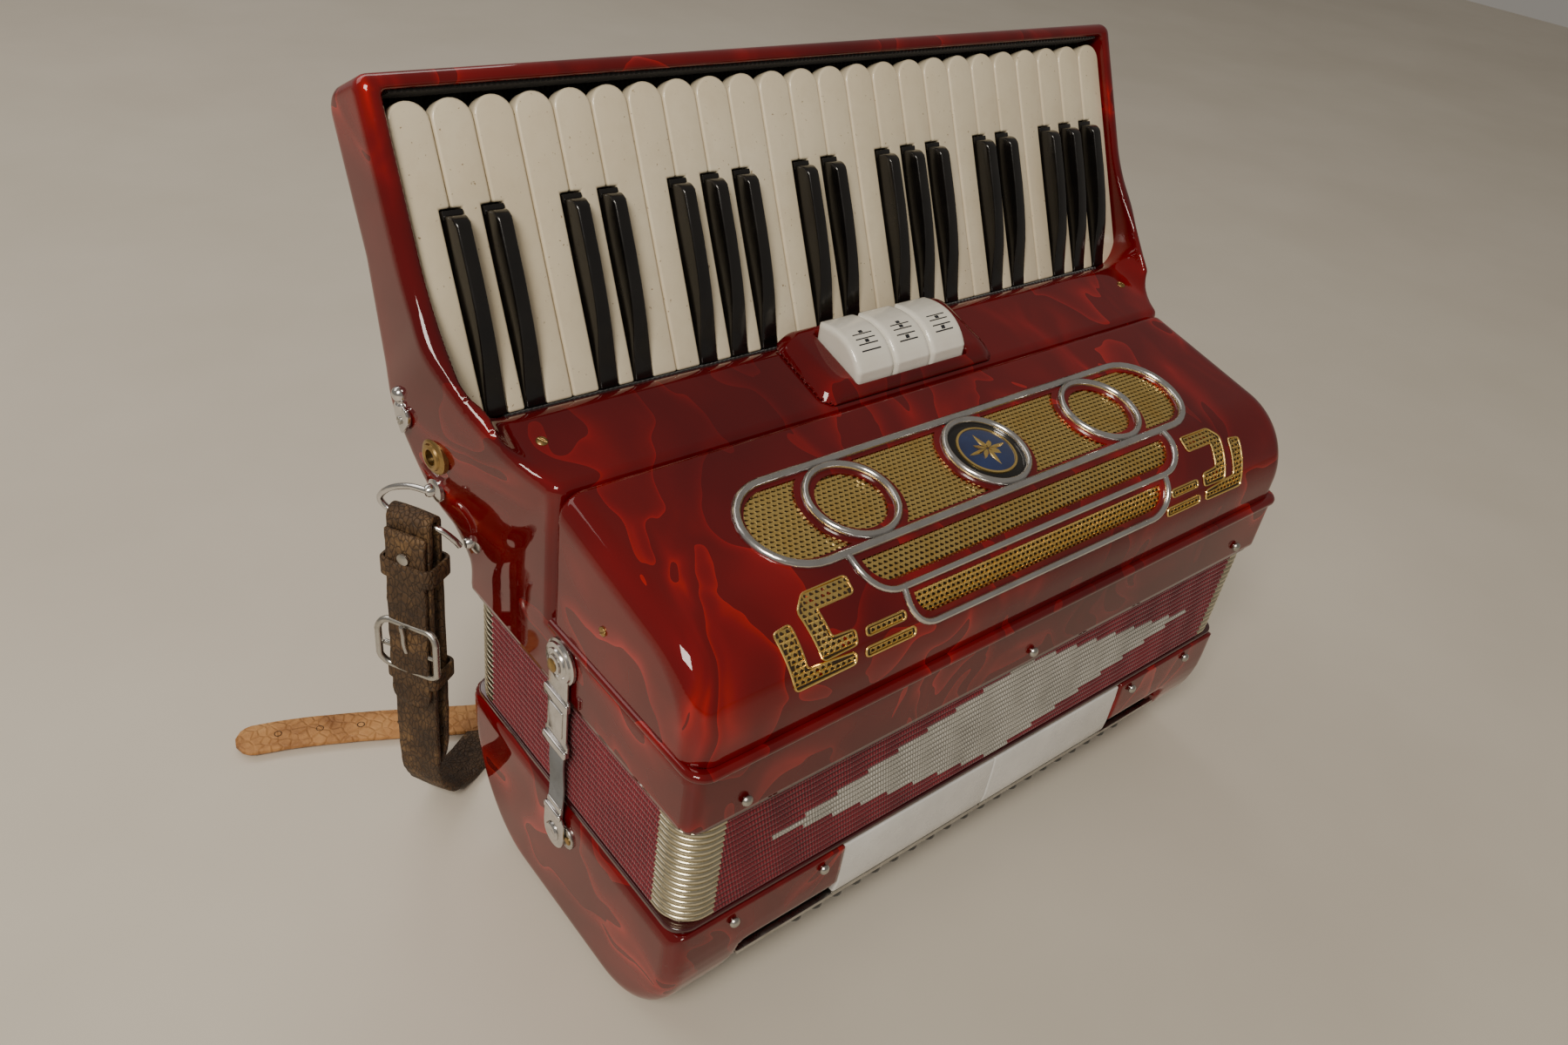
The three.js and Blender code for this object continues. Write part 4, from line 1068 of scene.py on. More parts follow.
def skin_sheet(name, outline, holes, lift, thickness, material, **options):
    """A sheet lying on the cover's skin, cut to an (x, s) outline with holes."""
    points, edges = [], []
    for loop in [outline] + holes:
        start = len(points)
        points += [Vector(p) for p in loop]
        edges += [(start + k, start + (k + 1) % len(loop)) for k in range(len(loop))]
    low, high = np.min(outline, axis=0), np.max(outline, axis=0)
    grid = np.array([(x, s) for x in np.arange(low[0] + 3, high[0], 10.0)
                     for s in np.arange(low[1] + 2, high[1], 4.0)])

    def inside(places, margin):
        """Which places are inside the outline and outside the holes by more than margin."""
        kept = polygon_distance(*places.T, outline) < -margin
        for hole in holes:
            kept &= polygon_distance(*places.T, hole) > margin
        return kept

    points += [Vector(p) for p in grid[inside(grid, 1.2)]]
    flat, _, triangles, *_ = delaunay_2d_cdt(points, edges, [], 0, 1e-5)
    flat = np.array([tuple(p) for p in flat])
    triangles = np.array([t for t in triangles if len(t) == 3])
    triangles = triangles[inside(flat[triangles].mean(axis=1), 0)]
    # number only the points that are used, above and below
    used, numbers = np.unique(triangles, return_inverse=True)
    triangles = [tuple(t) for t in numbers.reshape(-1, 3).tolist()]
    count = len(used)
    sides = {edge for a, b, c in triangles for edge in ((a, b), (b, c), (c, a))}
    faces = triangles + [(c + count, b + count, a + count) for a, b, c in triangles]
    faces += [(b, a, a + count, b + count) for a, b in sorted(sides) if (b, a) not in sides]
    vertices = [cover_point(x, s, height) for height in (lift, lift - thickness) for x, s in flat[used]]
    shade(publish(name, *outward(vertices, faces), material, "treble", **options))


def gold_mesh(name, outlines, lift, margin=1.3):
    """Expanded metal: staggered rows of small holes, cut a little larger than the outlines."""
    every = np.concatenate([np.array(outline) for outline in outlines])
    low, high = every.min(axis=0) - 3, every.max(axis=0) + 3
    half_x, half_s = MESH_PITCH_X / 2, MESH_PITCH_S / 2
    cells = np.array([
        (low[0] + (row % 2) * half_x + column * MESH_PITCH_X, low[1] + row * MESH_PITCH_S)
        for row in range(int((high[1] - low[1]) / MESH_PITCH_S) + 1)
        for column in range(int((high[0] - low[0]) / MESH_PITCH_X) + 1)
    ])
    reach = np.min([polygon_distance(*cells.T, outline) for outline in outlines], axis=0)
    quads = ring_faces(2, 6)[:6]
    vertices, faces = [], []
    for x, s in cells[reach < margin]:
        faces += [tuple(len(vertices) + i for i in quad) for quad in quads]
        vertices += [cover_point(x + a * half_x, s + b * half_s, lift) for a, b in CELL_FRAME]
        vertices += [cover_point(x + a * half_x, s + b * half_s, lift + (LIP_RISE if b > 0 else LIP_SINK))
                     for a, b in CELL_HOLE]
    piece = publish(name, vertices, faces, GOLD, "treble")
    weld(piece, 0.02)
    thicken(piece, 0.45)
    shade(piece, 25)


def trim(name, flat_path, width, height, closed=False):
    """A half-round chrome moulding along an (x, s) path on the cover's skin."""
    section = [(-width / 2, -1.2), *arc((0, 0), width / 2, 180, 0, 9, height), (width / 2, -1.2)]
    path = [cover_point(x, s) for x, s in flat_path]
    swept_piece(name, path, section, CHROME, "treble", closed=closed, up=cover_normal, slot="chrome")


def stadium(inset_x, inset_s):
    """Outline of the oval in (x, s), counter-clockwise."""
    half_s = STADIUM_HALF_S - inset_s
    straight = STADIUM_HALF_X - inset_x - half_s
    return [*arc((straight, STADIUM_MIDDLE_S), half_s, -90, 90, 16),
            *arc((-straight, STADIUM_MIDDLE_S), half_s, 90, 270, 16)]


def windows():
    """The oval's mesh windows: beside the rings, and inside the outer two."""
    half = STADIUM_HALF_S - WINDOW_INSET
    reach = math.degrees(math.asin(half / CLEAR_RADIUS))

    def ring_side(x, middle, sign):
        return arc((x, STADIUM_MIDDLE_S), CLEAR_RADIUS, middle + sign * reach, middle - sign * reach, 12)

    end = arc((STADIUM_HALF_S - STADIUM_HALF_X, STADIUM_MIDDLE_S), half, 90, 270, 14)
    end += ring_side(RING_XS[0], 180, 1)
    between = ring_side(RING_XS[0], 0, 1) + ring_side(RING_XS[1], 180, 1)
    loops = []
    for loop in (end, between):
        loops += [loop, [(-x, s) for x, s in reversed(loop)]]
    loops += [arc((x, STADIUM_MIDDLE_S), RING_MESH_RADIUS, 0, 345, 23) for x in (RING_XS[0], RING_XS[2])]
    return [filled(loop, 4.0) for loop in loops]


def u_outline(half_x, top, low, corner):
    """A strip's outline with rounded lower corners, from its top right corner."""
    return mirrored([(half_x, top), *arc((half_x - corner, low - corner), corner, 0, 90, 8)])


def grille():
    plate, openings = filled(stadium(1.8, 1.8), 6), windows()
    skin_sheet("oval_plate", plate, openings, -0.5, 0.9, RED, slot="red_celluloid")
    skin_sheet("oval_backing", plate, [], -2.7, 0.4, MESH_DARK)
    gold_mesh("oval_mesh", openings, -1.7)
    top = STADIUM_LOW_S + 0.5
    for number, (half, low, corner) in enumerate(STRIPS):
        strip = filled(u_outline(half - 1.3, top, low - 1.3, corner - 1), 4.0)
        window = filled(u_outline(half - 5.5, top + 3.6, low - 4.6, corner - 5), 4.0)
        skin_sheet(f"strip_plate_{number + 1}", strip, [window], -0.5, 0.9, RED, slot="red_celluloid")
        skin_sheet(f"strip_backing_{number + 1}", strip, [], -2.7, 0.4, MESH_DARK)
        gold_mesh(f"strip_mesh_{number + 1}", [window], -1.7)
        path = filled(u_outline(half, top - 1.5, low, corner), 3.0, closed=False)
        trim(f"strip_trim_{number + 1}", path, 3.6, 2.2)
        top = low + 0.5
    trim("oval_trim", filled(stadium(1.5, 1.0), 5), 4.6, 2.6, closed=True)
    for number, x in enumerate(RING_XS):
        ring = arc((x, STADIUM_MIDDLE_S), RING_RADIUS, 0, 352.5, 47)
        trim(f"ring_trim_{number + 1}", ring, 4.0, 2.9, closed=True)


grille()


# ---------------------------------------------------------------- gold ornaments, badge and screws
# bent strokes in (x, s) with their half widths, on both sides of the cover
STROKES = (
    ([(126, 15.2), (149, 15.6), (152.5, 19.5), (148.5, 38.0), (132, 38.0)], [4.4, 4.4, 4.6, 4.3, 3.6]),
    ([(168.5, 22.0), (164.5, 46.6), (133.5, 47.4)], [4.8, 4.2, 2.8]),
    ([(126, 38.0), (102, 38.0)], [2.1, 2.1]),
    ([(127.5, 47.4), (97, 47.4)], [2.3, 2.3]),
)


def unit(vector):
    return vector / np.linalg.norm(vector)


def stroke_outline(path, widths):
    """Outline of a bent stroke with square ends, its half width given at each point."""
    points = [np.array(p, float) for p in path]
    legs = [unit(b - a) for a, b in zip(points, points[1:])]
    left, right = [], []
    for point, width, before, after in zip(points, widths, legs[:1] + legs, legs + legs[-1:]):
        bend = before + after
        across = unit(np.array((-bend[1], bend[0])))
        reach = width / max(0.5, float(np.dot(across, (-before[1], before[0]))))
        left.append(point + across * reach)
        right.append(point - across * reach)
    return left + right[::-1]


def round_corners(outline, radius, steps=3):
    """The same outline with its corners cut into short arcs."""
    result = []
    for a, b, c in zip(outline[-1:] + outline[:-1], outline, outline[1:] + outline[:1]):
        reach = min(radius, np.linalg.norm(a - b) * 0.45, np.linalg.norm(c - b) * 0.45)
        start, end = b + unit(a - b) * reach, b + unit(c - b) * reach
        for step in range(steps + 1):
            t = step / steps
            result.append(tuple((1 - t) ** 2 * start + 2 * t * (1 - t) * b + t * t * end))
    return result


def ornament(name, outline):
    """A gold mesh inlay with a bright lip, low on the cover's front rounding."""
    rounded = filled(round_corners(outline, 2.2), 2.5)
    if area_twice(rounded) < 0:
        rounded.reverse()
    skin_sheet(f"{name}_backing", rounded, [], 0.12, 0.5, MESH_DARK)
    gold_mesh(f"{name}_mesh", [rounded], 0.32, margin=-1.0)
    path = [cover_point(x, s, 0.25) for x, s in rounded]
    swept_piece(f"{name}_lip", path, circle(0.55, 6), GOLD, "treble", closed=True, up=cover_normal,
                slot="steel")


def badge():
    """A plain round badge: a gold rosette on blue and black, a generic ornament."""
    middle = cover_point(0, STADIUM_MIDDLE_S, -0.4)
    axis = cover_normal(cover_point(0, STADIUM_MIDDLE_S))
    navy = gloss("badge_blue", (0.012, 0.030, 0.110), 0.12, (0.006, 0.012, 0.05), coat=0.9)
    for name, profile, material in (
            ("disc", [(0, -1.5), (21.2, -1.5), (21.2, 0.2), (19, 0.8), (0, 1.5)], BLACK),
            ("field", [(0, 0.9), (15.6, 0.9), (15.6, 1.25), (14, 1.6), (0, 1.95)], navy),
            ("ring", [(15.4, 0.8), (16.8, 0.8), (16.7, 1.6), (15.5, 1.75), (15.4, 0.8)], GOLD)):
        lathe(f"badge_{name}", profile, middle, axis, material, "treble", 48)
    turn = turn_to(axis)
    parts = []
    for petal in range(8):
        length = 8.6 if petal % 2 else 13.2
        spin = Matrix.Rotation(math.pi / 4 * petal, 2)
        half = [(length * 0.42, 1.5), (length * 0.75, 1.0)]
        flat = [(0.8, 0), *half, (length, 0), *((a, -b) for a, b in reversed(half))]
        flat = [spin @ Vector(p) for p in flat]
        low = [Vector((a, b, 1.4)) for a, b in flat]
        high = [Vector((a * 0.9, b * 0.5, 2.5)) for a, b in flat]
        vertices = [tuple(turn @ v + Vector(middle)) for v in low + high]
        parts.append(outward(vertices, ring_faces(2, len(flat))))
    joined("badge_rosette", parts, GOLD, "treble")


def screw(name, place, axis, radius, material=None):
    """A slotted round-head screw."""
    turn = turn_to(axis)

    def field(x, y, z):
        offsets = (x - place[0], y - place[1], z - place[2])
        a, b, c = (sum(turn[i][j] * offset for i, offset in enumerate(offsets)) for j in range(3))
        around = np.hypot(a, b)
        head = meet(np.hypot(around, c + 3.2) - 4.6, around - radius, -1.5 - c)
        slot = np.maximum(np.abs(a * 0.8 + b * 0.6) - 0.45, 0.5 - c)
        return rounded_max(head, -slot, 0.15)

    low, high = ([c + sign * (radius + 2) for c in place] for sign in (-1, 1))
    field_piece(name, field, low, high, 0.3, material or BRASS, "treble", slot="steel")


for side, sign in (("left", -1), ("right", 1)):
    for number, (path, widths) in enumerate(STROKES):
        ornament(f"ornament_{side}_{number + 1}", stroke_outline([(sign * x, s) for x, s in path], widths))
badge()
for side, sign in (("left", -1), ("right", 1)):
    screw(f"ledge_screw_{side}", (sign * 210, 43, ledge_z(43) - 0.2), (0, -LEDGE_SLOPE, 1), 2.8)
    screw(f"end_screw_{side}", (sign * 219.5, -28, 226), (sign, 0, 0), 2.4)


# ---------------------------------------------------------------- bass board, buttons and bars
BUTTON_COLUMNS = 20
BUTTON_ROWS = 6
BUTTON_PITCH_X = 14.4
FIRST_ROW = 8.5
BUTTON_ROW_PITCH = 12.4
BUTTON_ROW_SHIFT = 2.4
BUTTON_SIDES = 16
BUTTON_FOOT, BUTTON_TOP = 0.4, 9.95
# (radius, height above the board)
BUTTON = [(4.2, 0.4), (4.4, 2.5), (4.4, 7.4), (4.1, 8.6), (3.3, 9.4), (2.0, 9.8)]
BOARD_SLOPE = math.atan((BOARD_BACK[1] - BOARD_FRONT[1]) / (BOARD_BACK[0] - BOARD_FRONT[0]))
BOARD_DEPTH = math.dist(BOARD_BACK, BOARD_FRONT)
BAR_SIDE = [(-99.7, 88.6), (-100.2, 80), (-100.3, 60), (-99.6, 52.5), (-98.2, 49.4), (-94.6, 49.0),
            (-94.6, 88.6)]
HAND_STRAP_HALF_X = 196
HAND_STRAP_Y = (6, 62)
STITCHES = 76
STITCH_PITCH = 5.1


def from_board(x, along, out):
    """A point of the button board's frame: along runs forward from its back edge, out points away from it."""
    turn = math.pi + BOARD_SLOPE
    y = BOARD_BACK[0] + along * math.cos(turn) - out * math.sin(turn)
    return (x, y, BOARD_BACK[1] + along * math.sin(turn) + out * math.cos(turn))


def bass_button(x, along):
    vertices = [from_board(x + a, along + b, height) for radius, height in BUTTON
                for a, b in circle(radius, BUTTON_SIDES)]
    vertices += [from_board(x, along, BUTTON_TOP), from_board(x, along, BUTTON_FOOT)]
    top = len(BUTTON) * BUTTON_SIDES
    last = top - BUTTON_SIDES
    faces = ring_faces(len(BUTTON), BUTTON_SIDES)[:-2]
    for k in range(BUTTON_SIDES):
        following = (k + 1) % BUTTON_SIDES
        faces += [(last + k, last + following, top), (following, k, top + 1)]
    return outward(vertices, faces)


def bass_board():
    prism_piece("button_board", box_outline(-174.5, 174.5, 0.6, BOARD_DEPTH - 0.5), 1.0, 3.4, from_board,
                BOARD_BLACK_AND_BORE_SHADE, "bass", 0.8, 3, slot="black_plastic")
    for row in range(BUTTON_ROWS):
        shift = (row - (BUTTON_ROWS - 1) / 2) * BUTTON_ROW_SHIFT
        columns = [column - (BUTTON_COLUMNS - 1) / 2 for column in range(BUTTON_COLUMNS)]
        parts = [bass_button(column * BUTTON_PITCH_X + shift, FIRST_ROW + row * BUTTON_ROW_PITCH)
                 for column in columns]
        # the first row stands for the whole CAD node
        joined(f"bass_button_row_{row + 1}", parts, BUTTON_BLACK, "bass_buttons", slot="black_plastic",
               replaces=() if row else ["bass_buttons"])
    # a thin lip of metal along the board's front edge
    prism_piece("board_lip", box_outline(-97.5, -94.2, 43.6, 46.2), -175, 175, in_x,
                GREY_METAL, "bass", 0.4, 2, slot="steel")


def bass_bars():
    for side, x0, x1 in (("left", -112.8, 1.2), ("right", 1.8, 115.8)):
        body = f"bass_register_bar_{side}"
        prism_piece(f"register_bar_{side}", BAR_SIDE, x0, x1, in_x, BAR_WHITE, body, 1.1, 4,
                    slot="white_plastic", replaces=[body])
        prism_piece(f"register_bar_edge_{side}", box_outline(-98.8, -94.8, 47.6, 49.4), x0 + 0.6, x1 - 0.6,
                    in_x, GREY_METAL, body, 0.4, 2, slot="steel")
    # dark cloth behind the bars
    prism_piece("bar_pocket_lining", box_outline(-91.2, -90.7, 47.5, 89), -113, 116, in_x, FELT, "bass", 0.2, 1)


def strap_layer(side):
    """Points of one face of the hand strap: puffed, pressed in along the seams, bowed and a little waved."""
    y0, y1 = HAND_STRAP_Y
    rows, columns = 60, 14
    points = []
    for row in range(rows + 1):
        x = HAND_STRAP_HALF_X * (2 * row / rows - 1)
        for column in range(columns + 1):
            share = column / columns
            edge = min(share, 1 - share) * (y1 - y0)
            puff = 1.3 * (1 - math.exp(-edge / 3.0)) - (0.45 if 3.2 < edge < 5.4 else 0)
            bow = 0.42 * math.cos(math.pi * x / (2 * HAND_STRAP_HALF_X))
            z = 5.5 + bow + side * puff * 0.9 + 0.12 * math.sin(x * 0.21)
            points.append((x, y0 + (y1 - y0) * share, z))
    return points, rows, columns


def hand_strap():
    """A stitched leather band with its ends turned into the case under metal plates."""
    low, rows, columns = strap_layer(-1)
    high = strap_layer(1)[0]
    wide, per = columns + 1, len(low)
    faces = []
    for row in range(rows):
        for column in range(columns):
            a = row * wide + column
            faces.append((a, a + 1, a + wide + 1, a + wide))
            faces.append((per + a, per + a + wide, per + a + wide + 1, per + a + 1))
    rim = [row * wide for row in range(rows)] + [rows * wide + column for column in range(columns)]
    rim += [row * wide + columns for row in range(rows, 0, -1)] + list(range(columns, 0, -1))
    faces += [(a, b, per + b, per + a) for a, b in zip(rim, rim[1:] + rim[:1])]
    shade(publish("hand_strap", *outward(low + high, faces), LEATHER_DARK, "bass",
                  slot="leather", replaces=["bass_strap"]), 60)
    stitches = []
    for y in (HAND_STRAP_Y[0] + 4.2, HAND_STRAP_Y[1] - 4.2):
        for number in range(STITCHES):
            x = 6 - HAND_STRAP_HALF_X + number * STITCH_PITCH
            stitches.append(outward(*prism(box_outline(x, x + 3.0, y - 0.35, y + 0.35), 3.9, 4.35, in_z)))
    joined("hand_strap_stitches", stitches, LEATHER_TAN, "bass", slot="leather")
    for side, x in (("left", -HAND_STRAP_HALF_X), ("right", HAND_STRAP_HALF_X)):
        prism_piece(f"hand_strap_plate_{side}", box_outline(x - 7, x + 7, 4, 64), 4.6, 9.5, in_z,
                    GREY_METAL, "bass", 1.2, 3, slot="steel")


bass_board()
bass_bars()
lathe("air_button_cap", [(0, 23.5), (3.9, 23.5), (3.9, 4.2), (3.5, 2.3), (2.2, 1.5), (0, 1.3)], AIR_BUTTON,
      (0, 0, 1), BUTTON_BLACK, "air_button", 24, slot="black_plastic", replaces=["air_button"])
hand_strap()


# ---------------------------------------------------------------- bellows straps
STRAP_Y = 2
STRAP_FACE = BODY_HALF_X + 1.2
BOSS_Z = 186
CLASP_Z = 70
BAND_TOP = 131
RIBS = 54
RIB_PITCH = 0.98
BOSS = [(0, 0), (11.9, 0), (11.9, 1.4), (10.8, 2.0), (10.4, 3.1), (8.2, 3.4), (7.8, 4.3), (6.2, 4.6),
        (6.0, 4.0), (5.2, 3.9), (5.0, 5.2), (3.2, 6.0), (0, 6.1)]
SNAP = [(0, 0), (5.6, 0), (5.6, 0.7), (4.9, 1.5), (3.4, 1.7), (2.2, 1.3), (0, 1.1)]
STUD = [(0, 0), (2.4, 0), (2.3, 0.8), (1.2, 1.3), (0, 1.4)]
# the folded slide from the boss down to the band, and the clasp with its round end
SLIDE = mirrored([(8.2, 7), (8.4, -18), (10.2, -19.5), (10.2, -25), (8.6, -27), (8.6, -46), (10.4, -48),
                  (10.4, -55), (7.6, -57)])
CLASP_SIDE = [(6.4, 21), (6.8, 14), (9.0, 11), (9.4, 0)]
CLASP = [*CLASP_SIDE, *arc((0, -2), 9.2, 0, -180, 12), *((-a, b) for a, b in reversed(CLASP_SIDE))]
# flat pieces: name, outline about the boss or the clasp, height there, start and end outward, rounding
FLATS = (
    ("strap_slide", SLIDE, BOSS_Z, 0.4, 2.2, 0.6),
    ("strap_slide_loop", box_outline(-10.6, 10.6, -25.5, -19.5), BOSS_Z, 1.6, 3.6, 0.9),
    ("strap_slide_ridge", box_outline(-6.0, 6.0, -45, -28), BOSS_Z, 2.0, 3.0, 0.7),
    ("strap_slide_roll", box_outline(-10.6, 10.6, -55.5, -50.5), BOSS_Z, 1.0, 4.0, 1.3),
    ("strap_clasp", CLASP, CLASP_Z, 0.6, 2.4, 0.7),
    ("strap_clasp_roll", box_outline(-7.6, 7.6, 12.5, 17.0), CLASP_Z, 1.4, 4.0, 1.2),
)


def strap_band(side, sign, body):
    """The woven band: fine ribs across its width, a little waved along its length."""
    vertices = []
    for rib in range(RIBS):
        wave = 0.35 * math.sin(rib * 0.16)
        for drop, height in ((0, 1.6), (0.5, 1.15)):
            section = mirrored([(-6.6, 0.3), (-6.6, height - 0.2), (-5.8, height)])
            vertices += [(sign * (STRAP_FACE + out + wave), STRAP_Y + y, BAND_TOP - rib * RIB_PITCH - drop)
                         for y, out in section]
    band = outward(vertices, ring_faces(2 * RIBS, 6))
    shade(publish(f"strap_band_{side}", *band, BAND_CLOTH, body, slot="steel"), 30)


def bellows_strap(side, sign):
    body = f"bellows_strap_{side}"
    axis = (sign, 0, 0)

    def facing(z):
        """Places a prism whose outline is in (y, z) and whose thickness runs outward along x."""
        return lambda a, b, c: (sign * c, STRAP_Y + a, z + b)

    base = (sign * (STRAP_FACE - 0.6), STRAP_Y, BOSS_Z)
    lathe(f"strap_boss_{side}", BOSS, base, axis, CHROME, body, 40, slot="chrome", replaces=[body])
    lathe(f"strap_boss_centre_{side}", [(0, 5.2), (3.6, 5.2), (3.6, 6.2), (2.6, 6.9), (0, 7.2)], base, axis,
          BRASS, body, 24, slot="steel")
    for name, outline, z, low, high, rounding in FLATS:
        prism_piece(f"{name}_{side}", outline, STRAP_FACE + low, STRAP_FACE + high, facing(z), CHROME, body,
                    rounding, 3, slot="chrome")
    strap_band(side, sign, body)
    lathe(f"strap_snap_{side}", SNAP, (sign * (STRAP_FACE + 2.2), STRAP_Y, CLASP_Z - 1), axis, CHROME, body, 32,
          slot="chrome")
    # the stud plate stays on the bass case
    prism_piece(f"stud_plate_{side}", arc((-8.5, 1), 7.0, 0, 345, 23), BODY_HALF_X - 1.0, STRAP_FACE + 0.2,
                facing(CLASP_Z), GREY_METAL, "bass", 0.5, 3, slot="steel")
    lathe(f"stud_{side}", STUD, (sign * STRAP_FACE, STRAP_Y - 11.5, CLASP_Z + 1), axis, BRASS, "bass", 20,
          slot="steel")


bellows_strap("left", -1)
bellows_strap("right", 1)

# ---------------------------------------------------------------- left end: bracket, socket, ring and bosses
HEART_LEFT = [(-3.4, -5.5), (-6.6, -0.5), (-7.2, 3.4), (-5.6, 6.2), (-3.0, 6.8), (-1.0, 5.6)]
HEART = [(0, -9), *((-a, b) for a, b in HEART_LEFT), (0, 4.4), *reversed(HEART_LEFT)]
BALL = [(0, 0), (3.0, 0), (3.0, 2.6), (2.0, 3.4), (2.0, 4.4), (3.4, 6.0), (3.9, 8.0), (3.2, 10.1), (1.6, 11.3),
        (0, 11.6)]
COLLAR = [(5.2, -1), (9.2, -1), (9.2, 1.4), (8.2, 2.4), (6.8, 2.6), (6.4, 3.6), (5.0, 4.0), (3.9, 3.4),
          (3.9, -1), (5.2, -1)]
RING_BOSS = [(0, -1), (6.6, -1), (6.6, 1.0), (5.2, 1.8), (3.4, 2.4), (3.1, 4.6), (2.4, 5.6), (0, 6.0)]
RING_WIRE = [(-238, 95.2, 231), (-241, 96, 231.2), (-246, 106, 229.5), (-251.5, 116, 224),
             (-254.5, 121.5, 216), (-251, 117, 210.2), (-244.5, 106, 209.3), (-237, 93.6, 208.4),
             (-231.6, 89.2, 203.0), (-228.5, 89.5, 198)]


def on_left_end(y, z):
    """The point of the treble case's left end at y and z."""
    return (-float(flare_half_x(z + FLARE_SLOPE * y)), y, z)


def heart_bracket():
    """The upper strap bracket: a small heart-shaped plate with a screw, and a ball on its post."""
    x, y, z = on_left_end(105.3, 269.1)
    prism_piece("upper_bracket", HEART, -0.6, 2.2, lambda a, b, c: (x - c, y - a, z + b), CHROME, "treble",
                0.9, 4, slot="chrome")
    lathe("upper_bracket_ball", BALL, (x - 0.4, y, z + 4.6), (-0.15, 0, 1), CHROME, "treble", 28, slot="chrome")
    screw("upper_bracket_screw", (x - 2.2, y, z - 1.5), (-1, 0, 0), 2.0, GREY_METAL)


def socket():
    """The small round socket in the left end, with a brass collar around a black disc that is painted shade in
    its bore.
    """
    place, axis = on_left_end(87, 256), (-1, -0.1, 0)
    lathe("socket_collar", COLLAR, place, axis, BRASS, "treble", 36, slot="steel")
    # a black disc at the collar's foot: painted shade in the bore
    lathe("socket_bore_shade", [(0, 0.6), (3.95, 0.6), (3.95, 0.1), (0, 0.1)], place, axis, BOARD_BLACK_AND_BORE_SHADE, "treble", 24)


heart_bracket()
socket()
swept_piece("ring_wire", smooth_path(RING_WIRE, 7), circle(1.65, 12), CHROME, "strap",
            slot="chrome", replaces=["strap_ring"])
for name, place in (("upper", on_left_end(96, 231)), ("lower", (-BODY_HALF_X, 89.8, 198))):
    lathe(f"ring_boss_{name}", RING_BOSS, place, (-1, 0, 0), CHROME, "treble", 28, slot="chrome")

# ---------------------------------------------------------------- inner pieces keep their CAD shapes
for name, finish in (("key_axle", GREY_METAL), ("treble_reed_block", WOOD)):
    for material_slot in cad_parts[name].material_slots:
        material_slot.material = finish


# ---------------------------------------------------------------- leather shoulder strap
# the ring's bar, the direction across the hanging strap and the one in front of it, in (x, y)
STRAP_BAR = np.array((-244.5, 106.0))
STRAP_ACROSS = np.array((-0.508, 0.861))
STRAP_FRONT = np.array((-0.861, -0.508))
STRAP_WIDTH = 25.0
STRAP_THICKNESS = 3.2
FOLD_Z = 209.5
FOLD_RADIUS = 3.9
# (distance in front of the ring's bar, z): up behind the bar, and down in front of it to the ground
HANG = [(2.2, 46), (-2.6, 60), (-3.9, 110), (-3.9, 190)]
FALL = [(3.9, 209.5), (4.6, 180), (5.5, 120), (6, 60), (4, 34), (-6, 15), (-24, 5), (-40, 2.5), (-62, 2.5)]
OVERLAP = [(7.2, 205), (8.6, 175), (9.2, 150), (9.8, 126), (9.4, 104), (9.8, 92)]
TAIL = [(-172, 146), (-190, 154), (-205, 161), (-230, 173), (-258, 186), (-290, 199), (-321, 208)]
TAIL_Z = 2.6
HOLES = 5
HOLE_PITCH = 24
HOLE_RIM = [(0, 0.2), (1.5, 0.2), (2.2, 0.55), (2.5, 0.2), (2.5, -0.6), (0, -0.6)]
BUCKLE_Z = 132
BUCKLE_FRONT = 9.6
BUCKLE_HALF_WIDTH, BUCKLE_HALF_HEIGHT = 17.5, 15.5
# a quarter of a band's section, (share of the half width, share of the thickness)
BAND_EDGE = [(1, 0.32), (0.985, 0.42), (0.955, 0.5), (0.5, 0.5)]
BAND_TOP_SIDE = [*BAND_EDGE, (0, 0.5), *((-a, b) for a, b in reversed(BAND_EDGE))]
BAND_SECTION = [(-a, -b) for a, b in BAND_TOP_SIDE] + BAND_TOP_SIDE


def strap_point(front, z, across=0.0):
    """A point of the strap's hanging part: front is the distance in front of the ring's bar."""
    return np.array((*(STRAP_BAR + STRAP_FRONT * front + STRAP_ACROSS * across), z))


def run_lengths(points):
    """The distance run along a path at each of its points."""
    return np.concatenate(([0], np.cumsum(np.linalg.norm(np.diff(points, axis=0), axis=1))))


def leather_band(name, points, acrosses, width, thickness, material, wave, round_end=0, seed=1, **options):
    """A flat, softly creased band along a path, with its direction across given at each point.

    round_end is how far back the rounding of its last end reaches."""
    points = np.array(points)
    lengths = run_lengths(points)
    draws = random.Random(seed)
    slow, fast = draws.uniform(0, 6.28), draws.uniform(0, 6.28)
    vertices = []
    for i, (point, across, run) in enumerate(zip(points, acrosses, lengths)):
        along = unit(points[min(i + 1, len(points) - 1)] - points[max(i - 1, 0)])
        across = unit(np.array(across, float))
        normal = unit(np.cross(along, across))
        half = width / 2
        left = lengths[-1] - run
        if left < round_end:
            half *= math.sqrt(max(0.04, 1 - (1 - left / round_end) ** 2))
        for a, b in BAND_SECTION:
            crease = math.sin(run * 0.31 + slow + a * 1.3) * 0.5
            crease += math.sin(run * 0.83 + fast - a * 2.0) * 0.3
            puff = thickness * 0.12 * (1 - a * a) * (1 if b > 0 else -1)
            vertices.append(point + across * a * half + normal * (b * thickness + wave * crease + puff))
    faces = ring_faces(len(points), len(BAND_SECTION))
    publish(name, *outward([tuple(v) for v in vertices], faces), material, "strap", slot="leather", **options)


def hanging(points, per_span):
    """A smooth path through (front, z) points of the hanging part."""
    return smooth_path([strap_point(front, z) for front, z in points], per_span)


